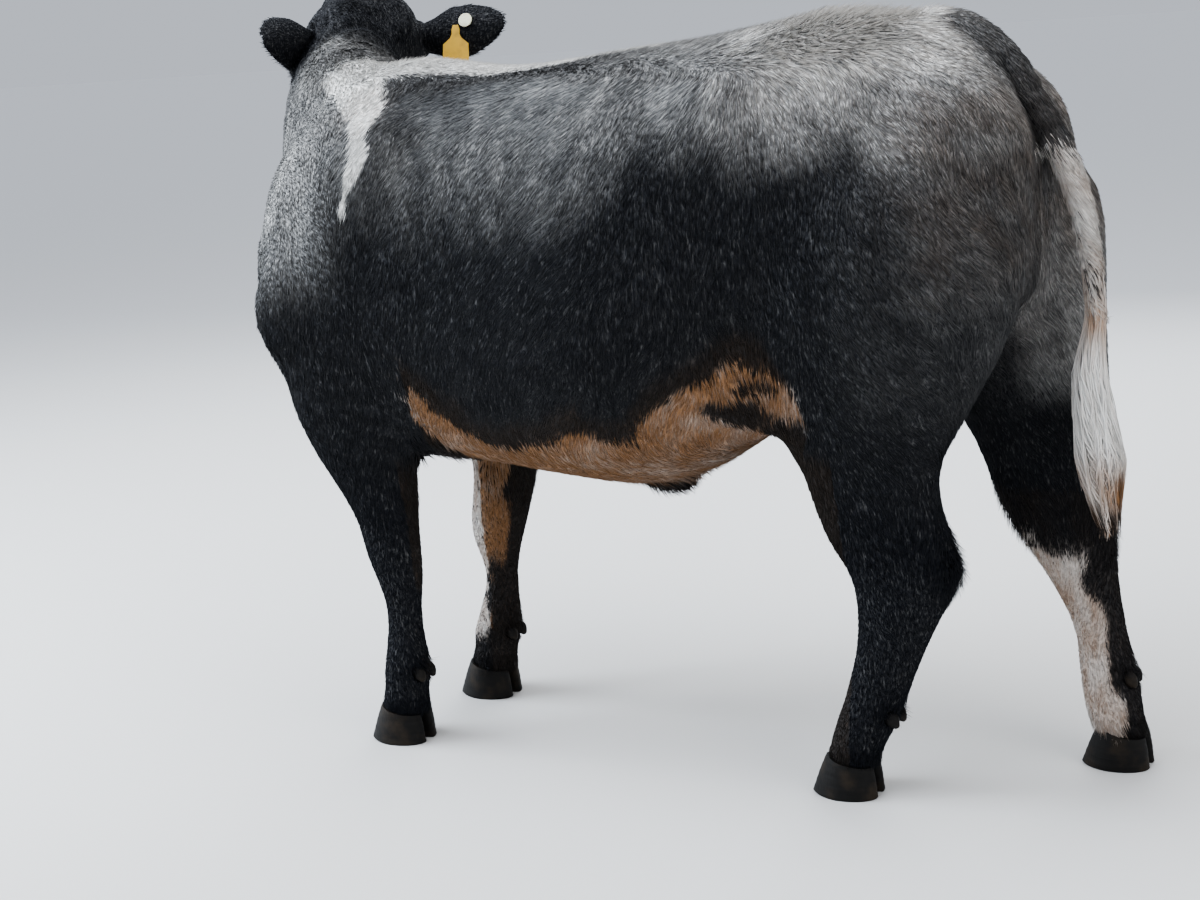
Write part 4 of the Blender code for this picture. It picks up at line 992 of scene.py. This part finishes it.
def coat_mesh(name, points, faces_per, count, corners, colours, spots):
    """One mesh of many like tufts. Each tuft has its patch of the map at its root's place."""
    mesh = bpy.data.meshes.new(name)
    per = len(points) // count
    faces = np.array(faces_per)[None, :, :] + (np.arange(count) * per)[:, None, None]
    faces = faces.reshape(-1, 3)
    mesh.vertices.add(len(points))
    mesh.vertices.foreach_set("co", points.reshape(-1).astype(np.float32))
    mesh.loops.add(faces.size)
    mesh.loops.foreach_set("vertex_index", faces.reshape(-1).astype(np.int32))
    mesh.polygons.add(len(faces))
    mesh.polygons.foreach_set("loop_start", np.arange(0, faces.size, 3, dtype=np.int32))
    mesh.polygons.foreach_set("use_smooth", np.ones(len(faces), bool))
    mesh.update(calc_edges=True)
    if len(colours) != len(points):
        colours = np.repeat(colours, per, axis=0)
    put_attribute(mesh, "coat", colours)
    layer = mesh.uv_layers.new(name="OFBake")
    place = np.repeat(spots, per, axis=0) + np.tile(np.array(corners) * BAKE_PATCH, (count, 1))
    place = place[faces.reshape(-1)]
    layer.data.foreach_set("uv", np.clip(place, 0, 1).reshape(-1).astype(np.float32))
    return mesh


BLADE_FACES = ((0, 2, 3), (2, 1, 3), (0, 3, 1), (0, 1, 2))
BLADE_CORNERS = ((0, 0), (1, 0), (0.5, 0.2), (0.5, 1))


def blades(at, normal, way, length, width, lift):
    """A closed spike of four faces for each tuft: two root corners, a ridge and a tip."""
    side = np.cross(normal, way)
    length, width, lift = length[:, None], width[:, None], lift[:, None]
    sink = normal * 0.0012
    tip = at + way * length * np.cos(lift) + normal * length * np.sin(lift)
    left = at - side * width - sink
    right = at + side * width - sink
    ridge = at + normal * width * 0.9 + way * length * 0.18
    return np.stack([left, right, ridge, tip], 1).reshape(-1, 3)


def tuft_colours(points, rng, spread=0.16):
    """White, stain and shade for each tuft, drawn from the markings at its root; on the belly the
    stain is partly painted shade and warm bounce light.
    """
    white, roan, stain_and_shading = markings(points)
    count = len(points)
    mixed = roan * ROAN_TONE * (0.45 + 1.1 * rng.random(count))
    solid = np.where(rng.random(count) < white, 0.72 + 0.28 * rng.random(count), mixed)
    # The belly's part of this brown is painted shade and warm bounce light, the rest is stain
    soil = np.clip(stain_and_shading + 0.30 * (rng.random(count) - 0.5) * (stain_and_shading > 0.02), 0, 1)
    shade = np.clip(0.5 + spread * rng.standard_normal(count), 0, 1)
    return np.stack([np.clip(solid, 0, 1), soil, shade], 1)


def fur(skin, rng):
    points, normals, faces, loops = skin_data(skin.data)
    uv = np.empty(len(skin.data.loops) * 2, np.float32)
    skin.data.uv_layers["Hide"].data.foreach_get("uv", uv)
    uv = uv.reshape(-1, 2)
    bare = bareness(points)
    density, length, width, lift = coat_plan(points, normals, bare)
    at, normal, spot = scattered(points, normals, faces, loops, uv, density, rng)
    bare = bareness(at)
    _, length, width, lift = coat_plan(at, normal, bare)
    slope = np.array((0, -CORONET_SLOPE, -1)) / math.hypot(CORONET_SLOPE, 1)
    low = (at[:, 2] < CLAW_HEIGHT + 0.025) & (normal @ slope > 0.75)
    vary = 0.75 + 0.5 * rng.random(len(at))
    way = lie(at, normal)
    body = blades(at, normal, way, length * vary, width * (0.8 + 0.4 * rng.random(len(at))),
                  lift * (0.6 + 0.8 * rng.random(len(at))))
    colours = tuft_colours(at, rng)
    order = np.argsort(at[:, 1], kind="stable")
    order = order[~low[order]]
    body = body.reshape(-1, 4, 3)
    pieces = []
    groups = math.ceil(len(order) / COAT_PIECE)
    for index, part in enumerate(np.array_split(order, groups)):
        mesh = coat_mesh("coat", body[part].reshape(-1, 3), BLADE_FACES, len(part), BLADE_CORNERS,
                         colours[part], spot[part])
        pieces.append(add_object("heifer_coat_%d" % (index + 1), mesh))
    return pieces


# Long, bent locks

def bent_locks(paths, widths, depths, outs):
    """Flat tapered locks of four-sided rings: paths is lock by step by place."""
    ahead = np.gradient(paths, axis=1)
    ahead /= np.maximum(np.linalg.norm(ahead, axis=2), 1e-9)[:, :, None]
    side = np.cross(ahead, outs)
    side /= np.maximum(np.linalg.norm(side, axis=2), 1e-9)[:, :, None]
    lift = np.cross(side, ahead)
    w, d = widths[:, :, None], depths[:, :, None]
    rings = np.stack([paths + side * w, paths + lift * d, paths - side * w, paths - lift * d], 2)
    count, steps = paths.shape[:2]
    points = rings.reshape(-1, 3)
    faces = []
    for i in range(steps - 1):
        for j in range(4):
            k = (j + 1) % 4
            a, b, c, e = i * 4 + j, i * 4 + k, (i + 1) * 4 + k, (i + 1) * 4 + j
            faces += [(a, c, b), (a, e, c)]
    faces += [(0, 1, 2), (0, 2, 3)]
    last = (steps - 1) * 4
    faces += [(last, last + 2, last + 1), (last, last + 3, last + 2)]
    corners = []
    for i in range(steps):
        t = i / (steps - 1)
        corners += [(0, t), (0.5, t), (1, t), (0.5, t)]
    return points, faces, corners, count


def switch_size(z):
    rows = np.array(SWITCH)[::-1]
    return [np.interp(z, rows[:, 0], rows[:, k]) for k in (1, 2, 3)]


def switch(rng):
    """The long hair of the tail: many fine locks in the solid switch's room."""
    count, steps = LOCKS, 13
    t = np.linspace(0, 1, steps)[None, :]
    turn = rng.random(count)[:, None] * 2 * math.pi
    top = 0.945 - 0.36 * rng.random(count)[:, None] ** 0.85
    end = np.minimum(0.455 + 0.20 * rng.random(count)[:, None] ** 1.7, top - 0.15)
    z = top + (end - top) * t
    y, across, along = switch_size(z)
    layer = 0.15 + 0.80 * np.sqrt(rng.random(count))[:, None]
    inner = np.where(top > 0.80, 0.93, 0.35)
    layer = np.where(top > 0.80, 0.75 + 0.25 * layer, layer)
    reach = (inner + (0.96 - inner) * np.sin(np.pi / 2 * np.minimum(t * 1.6, 1))) * layer
    # Locks gather in strands, which part toward the tips
    strand = np.round(turn / (2 * math.pi) * 11) / 11 * 2 * math.pi
    gather = 0.45 * smooth_step(0.1, 0.8, t) * (layer > 0.5)
    angle = turn * (1 - gather) + strand * gather
    angle = angle + 0.5 * t + 0.28 * np.sin(5 * t + strand * 3) + 0.12 * np.sin(19 * t + turn * 7)
    reach = reach * (1 - 0.10 * t) * (1 + 0.08 * np.sin(9 * t + strand * 5))
    flare = 1 + 0.16 * (rng.random(count)[:, None] - 0.4) * t
    paths = np.stack([TAIL_X + across * reach * flare * np.cos(angle),
                      y + along * reach * flare * np.sin(angle), z], 2) + np.array(SHIFT)
    outs = np.stack([np.cos(angle), np.sin(angle), np.zeros_like(angle)], 2)
    full = np.sqrt(np.maximum(1 - t**3, 0)) * (0.55 + 0.45 * np.minimum(4 * t, 1))
    broad = LOCK_WIDTH
    widths = np.maximum(broad * full * (0.4 + 1.0 * rng.random(count)[:, None]), 0.0002)
    depths = np.maximum(0.0007 * full, 0.00015)
    points, faces, corners, count = bent_locks(paths, widths, depths, outs)
    # Brown with soil where it begins, white where it is fullest, brown again and dark at the tip
    own = rng.random(count)[:, None]
    patchy = mottle(points.reshape(-1, 3) * (1, 1, 0.35), 0.020, 33).reshape(count, -1)
    level = np.repeat(z, 4, axis=1)
    stain = 0.05 + 0.50 * smooth_step(0.70, 0.80, level) * smooth_step(0.93, 0.86, level)
    stain += 0.75 * smooth_step(0.61, 0.51, level)
    stain = np.clip(stain * (0.3 + 1.3 * patchy) + 0.25 * (own - 0.4), 0, 1)
    tip = smooth_step(0.510, 0.470, level) * smooth_step(0.30, 0.55, own + 0.25 * patchy)
    white = np.clip(1 - 0.5 * (own < 0.06) - 0.95 * tip, 0, 1)
    shade = np.broadcast_to(rng.random(count)[:, None] * 0.5 + 0.1, level.shape)
    colours = np.stack([white, stain, shade], 2).reshape(-1, 3)
    spots = 0.01 + 0.98 * np.stack([rng.random(count), rng.random(count)], 1)
    mesh = coat_mesh("switch", points, faces, count, corners, colours, spots)
    return add_object("switch_hair", mesh)


def lashes(rng):
    """Two rows of bent hairs that stand off the edge of each lid."""
    half, rise = 0.0215, 0.0135
    roots, ways, outs, lengths = [], [], [], []
    for side in (1, -1):
        place = eye_frame(side)
        turn = place.to_3x3()
        for first, last, count, length in ((12, 168, 60, LASH_LENGTH), (200, 340, 34, LOWER_LASH)):
            for degrees in np.linspace(first, last, count):
                angle = math.radians(degrees + rng.uniform(-2, 2))
                x = half * math.cos(angle)
                y = rise * math.copysign(abs(math.sin(angle)) ** 1.2, math.sin(angle))
                z = math.sqrt(EYE_RADIUS**2 - x * x - y * y) + 0.0018
                roots.append(place @ Vector((x, y + math.copysign(0.0008, y), z)))
                way = Vector((0.55 * x / half + rng.uniform(-0.1, 0.1),
                              math.copysign(0.35, y), 1.0)).normalized()
                ways.append(turn @ way)
                outs.append(turn @ Vector((0, math.copysign(1, y), 0)))
                lengths.append(length * rng.uniform(0.75, 1.1))
    steps = 6
    t = np.linspace(0, 1, steps)[None, :, None]
    roots, ways, outs = (np.array([tuple(v) for v in rows])[:, None, :]
                         for rows in (roots, ways, outs))
    lengths = np.array(lengths)[:, None, None]
    paths = roots + ways * t * lengths + outs * t**2 * lengths * 0.45
    widths = np.maximum(0.00034 * (1 - t[:, :, 0] ** 2), 0.00006) * np.ones((len(roots), 1))
    normals = np.broadcast_to(outs, paths.shape)
    points, faces, corners, count = bent_locks(paths, widths, widths, normals)
    colours = np.tile(np.array((0.0, 0.0, 0.2)), (count, 1))
    spots = 0.01 + 0.98 * np.stack([rng.random(count), rng.random(count)], 1)
    mesh = coat_mesh("lashes", points, faces, count, corners, colours, spots)
    return add_object("eye_lashes", mesh)


# Materials

def nodes_for(name):
    material = bpy.data.materials.new(name)
    material.use_nodes = True
    tree = material.node_tree
    return material, tree, tree.nodes["Principled BSDF"]


def mix(tree, factor, first, second):
    made = tree.nodes.new("ShaderNodeMix")
    made.data_type = "RGBA"
    for index, value in ((0, factor), (6, first), (7, second)):
        socket = made.inputs[index]
        if isinstance(value, bpy.types.NodeSocket):
            tree.links.new(value, socket)
        elif isinstance(value, tuple):
            socket.default_value = (*value, 1)
        else:
            socket.default_value = value
    return made.outputs[2]


def maths(tree, operation, first, second=0.0, clamp=False):
    made = tree.nodes.new("ShaderNodeMath")
    made.operation = operation
    made.use_clamp = clamp
    for socket, value in zip(made.inputs, (first, second)):
        if isinstance(value, bpy.types.NodeSocket):
            tree.links.new(value, socket)
        else:
            socket.default_value = value
    return made.outputs[0]


def over(tree, value, level, gain):
    """How far a value stands over a level, times a gain, from 0 to 1."""
    return maths(tree, "MULTIPLY", maths(tree, "SUBTRACT", value, level, True), gain, True)


def noise(tree, scale, detail=3.0, stretch=(1, 1, 1)):
    spot = tree.nodes.new("ShaderNodeTexCoord")
    fit = tree.nodes.new("ShaderNodeMapping")
    fit.inputs["Scale"].default_value = stretch
    tree.links.new(spot.outputs["Object"], fit.inputs["Vector"])
    made = tree.nodes.new("ShaderNodeTexNoise")
    made.inputs["Scale"].default_value = scale
    made.inputs["Detail"].default_value = detail
    tree.links.new(fit.outputs["Vector"], made.inputs["Vector"])
    return made.outputs["Fac"]


def bump(tree, shader, height, strength, distance):
    made = tree.nodes.new("ShaderNodeBump")
    made.inputs["Strength"].default_value = strength
    made.inputs["Distance"].default_value = distance
    tree.links.new(height, made.inputs["Height"])
    tree.links.new(made.outputs["Normal"], shader.inputs["Normal"])


BLACK_HAIR = (0.0026, 0.0033, 0.0056)
GREY_HAIR = (0.0130, 0.0152, 0.0215)
WHITE_HAIR = (0.86, 0.85, 0.82)
# Brown of stained hair; on the belly's white it is partly painted shade and warm bounce light
STAIN_AND_SHADE_HAIR = (0.270, 0.122, 0.036)
SOIL = (0.035, 0.026, 0.018)


PALE_HAIR = (0.42, 0.41, 0.39)
UNDER_HAIR = (0.006, 0.006, 0.008)
LEATHER = ((0.0035, 0.0035, 0.0045), (0.0130, 0.0115, 0.0120))
HORN = ((0.0016, 0.0015, 0.0015), (0.0090, 0.0078, 0.0068))
HORN_SOIL = (0.030, 0.021, 0.013)
IRIS = ((0.005, 0.0032, 0.0028), (0.017, 0.009, 0.0055))
EYE_RIM = (0.026, 0.017, 0.015)
PUPIL = (0.003, 0.003, 0.005)
TAG_SOIL = (0.10, 0.07, 0.04)
TAGS = (                  # node, material, clean colour, worn colour
    ("tag_flag", "yellow tag", (0.70, 0.42, 0.05), (0.56, 0.32, 0.04)),
    ("tag_button", "cream tag", (0.78, 0.74, 0.58), (0.66, 0.60, 0.42)),
)


def coat_channels(tree):
    """The three numbers that each point of the skin and of the coat carries."""
    data = tree.nodes.new("ShaderNodeAttribute")
    data.attribute_name = "coat"
    split = tree.nodes.new("ShaderNodeSeparateColor")
    tree.links.new(data.outputs["Color"], split.inputs[0])
    return split.outputs[:3]


def hair_colour(tree, white, stain_and_shading, shade):
    """The colour of hair from its share of white, its staining (on the belly partly painted shade
    and warm bounce light) and its own shade.
    """
    dark = mix(tree, shade, BLACK_HAIR, GREY_HAIR)
    dark = mix(tree, maths(tree, "MULTIPLY", stain_and_shading, 0.55), dark, SOIL)
    light = mix(tree, stain_and_shading, WHITE_HAIR, STAIN_AND_SHADE_HAIR)
    light = mix(tree, maths(tree, "MULTIPLY", shade, 0.30), light, PALE_HAIR)
    return mix(tree, white, dark, light)


def coat_material():
    material, tree, shader = nodes_for("coat hair")
    white, stain_and_shading, shade = coat_channels(tree)
    streak = noise(tree, 260, 2)
    shade = maths(tree, "ADD", maths(tree, "MULTIPLY", shade, 0.5),
                  maths(tree, "MULTIPLY", streak, 0.25), True)
    tree.links.new(hair_colour(tree, white, stain_and_shading, shade), shader.inputs["Base Color"])
    shader.inputs["Roughness"].default_value = 0.55
    shader.inputs["Specular IOR Level"].default_value = 0.16
    bump(tree, shader, noise(tree, 1400, 1), 0.25, 0.0006)
    return material


def skin_material():
    material, tree, shader = nodes_for("heifer hide")
    white, stain_and_shading, bare = coat_channels(tree)
    streak = noise(tree, 90, 4, (3.0, 3.0, 0.8))
    fleck = maths(tree, "MULTIPLY", maths(tree, "SUBTRACT", streak, 0.5), 1.1)
    white = maths(tree, "ADD", white, maths(tree, "MULTIPLY", fleck, 0.5), True)
    shade = maths(tree, "MULTIPLY", noise(tree, 30, 3), 0.5, True)
    hair = hair_colour(tree, white, stain_and_shading, shade)
    hair = mix(tree, maths(tree, "SUBTRACT", 0.34, maths(tree, "MULTIPLY", white, 0.30)),
               hair, UNDER_HAIR)
    leather = mix(tree, noise(tree, 42, 3), *LEATHER)
    tree.links.new(mix(tree, bare, hair, leather), shader.inputs["Base Color"])
    rough = maths(tree, "SUBTRACT", 0.75, maths(tree, "MULTIPLY", bare, 0.50))
    tree.links.new(rough, shader.inputs["Roughness"])
    shader.inputs["Specular IOR Level"].default_value = 0.30
    cells = tree.nodes.new("ShaderNodeTexVoronoi")
    cells.inputs["Scale"].default_value = 260
    spot = tree.nodes.new("ShaderNodeTexCoord")
    tree.links.new(spot.outputs["Object"], cells.inputs["Vector"])
    pebble = maths(tree, "MULTIPLY", cells.outputs["Distance"], bare)
    hairs = noise(tree, 500, 3, (1.6, 1.6, 0.35))
    bump(tree, shader, maths(tree, "SUBTRACT", hairs, pebble), 0.6, 0.0015)
    return material


def horn_material():
    material, tree, shader = nodes_for("hoof horn")
    rings = noise(tree, 14, 3, (0.25, 0.25, 9.0))
    grain = noise(tree, 120, 3, (2.5, 2.5, 0.3))
    horn = mix(tree, rings, *HORN)
    soil = over(tree, noise(tree, 22, 4), 0.48, 4.0)
    tree.links.new(mix(tree, soil, horn, HORN_SOIL), shader.inputs["Base Color"])
    shader.inputs["Roughness"].default_value = 0.60
    shader.inputs["Specular IOR Level"].default_value = 0.22
    bump(tree, shader, maths(tree, "ADD", rings, maths(tree, "MULTIPLY", grain, 0.4)), 0.7, 0.0015)
    return material


def eye_material():
    """Dark iris with a level oblong pupil, brown toward the corners, wet."""
    material, tree, shader = nodes_for("wet eye")
    spot = tree.nodes.new("ShaderNodeTexCoord")
    split = tree.nodes.new("ShaderNodeSeparateXYZ")
    tree.links.new(spot.outputs["Object"], split.inputs[0])
    x2, y2 = (maths(tree, "POWER", maths(tree, "ABSOLUTE", split.outputs[k]), 2) for k in (0, 1))
    pupil = maths(tree, "ADD", maths(tree, "DIVIDE", x2, 0.0072**2),
                  maths(tree, "DIVIDE", y2, 0.0042**2))
    pupil = maths(tree, "MULTIPLY", maths(tree, "SUBTRACT", 1.15, pupil), 4.0, True)
    ring = maths(tree, "SQRT", maths(tree, "ADD", x2, y2))
    rim = over(tree, ring, 0.0142, 700)
    ball_colour = mix(tree, rim, mix(tree, noise(tree, 380, 3), *IRIS), EYE_RIM)
    tree.links.new(mix(tree, pupil, ball_colour, PUPIL), shader.inputs["Base Color"])
    shader.inputs["Roughness"].default_value = 0.16
    shader.inputs["Specular IOR Level"].default_value = 0.35
    shader.inputs["Coat Weight"].default_value = 0.40
    shader.inputs["Coat Roughness"].default_value = 0.03
    return material


def tag_material(name, clean, worn):
    """Moulded plastic, a little soiled and scuffed."""
    material, tree, shader = nodes_for(name)
    scuff = noise(tree, 60, 5)
    soil = maths(tree, "MULTIPLY", over(tree, noise(tree, 35, 4), 0.50, 3.0), 0.6)
    base = mix(tree, scuff, clean, worn)
    tree.links.new(mix(tree, soil, base, TAG_SOIL), shader.inputs["Base Color"])
    shader.inputs["Roughness"].default_value = 0.42
    shader.inputs["Subsurface Weight"].default_value = 0.08
    bump(tree, shader, noise(tree, 300, 3), 0.2, 0.0005)
    return material


def dress(obj, material):
    obj.data.materials.clear()
    obj.data.materials.append(material)


# Eyes and hooves

def eyes(material):
    for word, side in (("left", 1), ("right", -1)):
        eye = add_object("wet_eye_" + word, ball("eye", EYE_RADIUS - 0.0001, 64))
        eye.data.shade_smooth()
        eye.matrix_world = eye_frame(side)
        dress(eye, material)
        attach(eye, "root")
        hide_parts("eye_" + word)


HOOF = (                  # share of the height, width, length, and how far it sets back
    (0, 0.93, 0.95, 0.001), (0.05, 0.995, 0.995, 0), (0.6, 0.95, 0.84, 0.006),
    (1, 0.895, 0.70, 0.010),
)


def hoof(name, x, y, side):
    """One claw: flat sole, sloping wall with growth rings, flat inner side and a blunt toe."""
    turn = np.linspace(0, 2 * math.pi, 56, endpoint=False)
    cx, cy = np.cos(turn), np.sin(turn)
    cx = np.where(cx < 0, 0.30 * cx, cx) * (1 - 0.28 * np.maximum(0, -cy) ** 2)
    rings = []
    levels, *profile = zip(*HOOF)
    for height in np.concatenate([[0, 0.02, 0.05], np.linspace(0.1, 1.0, 22)]):
        wide, long, back = (np.interp(height, levels, row) for row in profile)
        ridge = 1 - 0.010 * (0.5 + 0.5 * math.sin(height * 34)) * (height > 0.08)
        px = x + side * (CLAW_GAP / 2 + CLAW_WIDTH * (0.25 + 0.75 * cx * wide * ridge))
        py = y - CLAW_AHEAD + CLAW_LENGTH / 2 * cy * long * ridge + back
        top = CLAW_HEIGHT + 0.004 - CORONET_SLOPE * (py - (y - CLAW_AHEAD))
        rings.append(np.stack([px, py, top * height], 1) + np.array(SHIFT))
    obj = add_object(name, loft(name, rings))
    obj.data.shade_smooth()
    obj.data.set_sharp_from_angle(angle=math.radians(50))
    return obj


def dewclaw(name, centre):
    """A blunt little horn that points down and back, with rings and a worn tip."""
    shape = bmesh.new()
    bmesh.ops.create_uvsphere(shape, u_segments=32, v_segments=20, radius=1)
    for vertex in shape.verts:
        x, y, z = vertex.co
        full = 1 - 0.55 * max(0, -z) ** 1.5
        ring = 1 + 0.03 * math.sin(z * 22)
        level = z if z > -0.8 else -0.8 + (z + 0.8) * 0.4
        vertex.co = Vector((x * full * ring, y * full * ring, level))
    turn = Matrix.Rotation(DEWCLAW_TILT, 4, "X") @ Matrix.Diagonal((*DEWCLAW, 1))
    shape.transform(Matrix.Translation(centre + SHIFT) @ turn)
    obj = add_object(name, ordered_mesh(shape, name))
    obj.data.shade_smooth()
    return obj


def hooves(material):
    for word, kind, x, y, side in FEET:
        for place, way in (("inner", -side), ("outer", side)):
            node_name = "claw_%s_%s_%s" % (kind, word, place)
            obj = hoof("hoof_%s_%s_%s" % (kind, word, place), x, y, way)
            dress(obj, material)
            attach(obj, "root")
            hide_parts(node_name)
            back = Vector(FETLOCKS[kind + word]) + Vector((way * DEWCLAW_OFF, 0, 0))
            horn = dewclaw("dew_horn_%s_%s_%s" % (kind, word, place), back)
            dress(horn, material)
            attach(horn, "root")
            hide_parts("dew" + node_name)


# Camera, floor and light

def camera():
    """The photograph's view: a long lens at the height of the back, held with a slight roll."""
    data = bpy.data.cameras.new("camera")
    obj = add_object("camera", data)
    ahead = Vector(CAMERA_WAY).normalized()
    right = ahead.cross(Vector((0, 0, 1))).normalized()
    up = right.cross(ahead)
    level = right * math.cos(CAMERA_ROLL) - up * math.sin(CAMERA_ROLL)
    upward = right * math.sin(CAMERA_ROLL) + up * math.cos(CAMERA_ROLL)
    obj.matrix_world = frame_of(Vector(CAMERA_PLACE) + SHIFT, level, upward, -ahead)
    data.lens = LENS
    data.sensor_width = SENSOR
    data.clip_end = 60
    bpy.context.scene.camera = obj


def area_light(name, place, target, size, power, colour):
    data = bpy.data.lights.new(name, "AREA")
    data.shape = "RECTANGLE"
    data.size, data.size_y = size
    data.energy = power
    data.color = colour
    obj = add_object(name, data)
    obj.location = place
    way = Vector(target) - Vector(place)
    obj.rotation_euler = way.to_track_quat("-Z", "Y").to_euler()


def surroundings():
    shape = bmesh.new()
    bmesh.ops.create_grid(shape, x_segments=1, y_segments=1, size=FLOOR_SIZE)
    floor = add_object("floor", mesh_of(shape, "floor"))
    material, _, shader = nodes_for("pale floor")
    shader.inputs["Base Color"].default_value = (0.62, 0.61, 0.59, 1)
    shader.inputs["Roughness"].default_value = 0.9
    dress(floor, material)
    world = bpy.data.worlds.new("studio")
    world.use_nodes = True
    sky = world.node_tree.nodes["Background"]
    sky.inputs[0].default_value = SKY_COLOUR
    sky.inputs[1].default_value = SKY_POWER
    bpy.context.scene.world = world
    bpy.context.scene.view_settings.look = "AgX - Medium High Contrast"
    sun = bpy.data.lights.new("day", "SUN")
    sun.energy = DAY_POWER
    sun.color = DAY_COLOUR
    sun.angle = DAY_SPREAD
    day = add_object("day", sun)
    day.rotation_euler = Vector(DAY_WAY).to_track_quat("-Z", "Y").to_euler()
    for row in LAMPS:
        area_light(*row)


def main():
    camera()
    surroundings()
    rng = np.random.default_rng(SEED)
    skin = carved_skin()
    skin.data.shade_smooth()
    points = places(skin.data)
    white, roan, stain_and_shading = markings(points)
    nose, rims, teats = bareness(points)
    bare = np.clip(nose + rims + 0.8 * teats, 0, 1)
    put_attribute(skin.data, "coat", np.stack([np.maximum(white, roan * ROAN_TONE), stain_and_shading, bare], 1))
    unwrap(skin)
    dress(skin, skin_material())
    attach(skin, "root")
    flesh = [name for name in flesh_names() if not name.startswith("eye")]
    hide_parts(*flesh, "ear_left", "ear_right", "tail_dock")
    hair = coat_material()
    for piece in fur(skin, rng):
        dress(piece, hair)
        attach(piece, "root")
    lids = lashes(rng)
    dress(lids, hair)
    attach(lids, "root")
    tail = switch(rng)
    dress(tail, hair)
    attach(tail, "root")
    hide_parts("tail_switch")
    eyes(eye_material())
    hooves(horn_material())
    for name, word, clean, worn in TAGS:
        dress(bpy.data.objects[name], tag_material(word, clean, worn))


main()
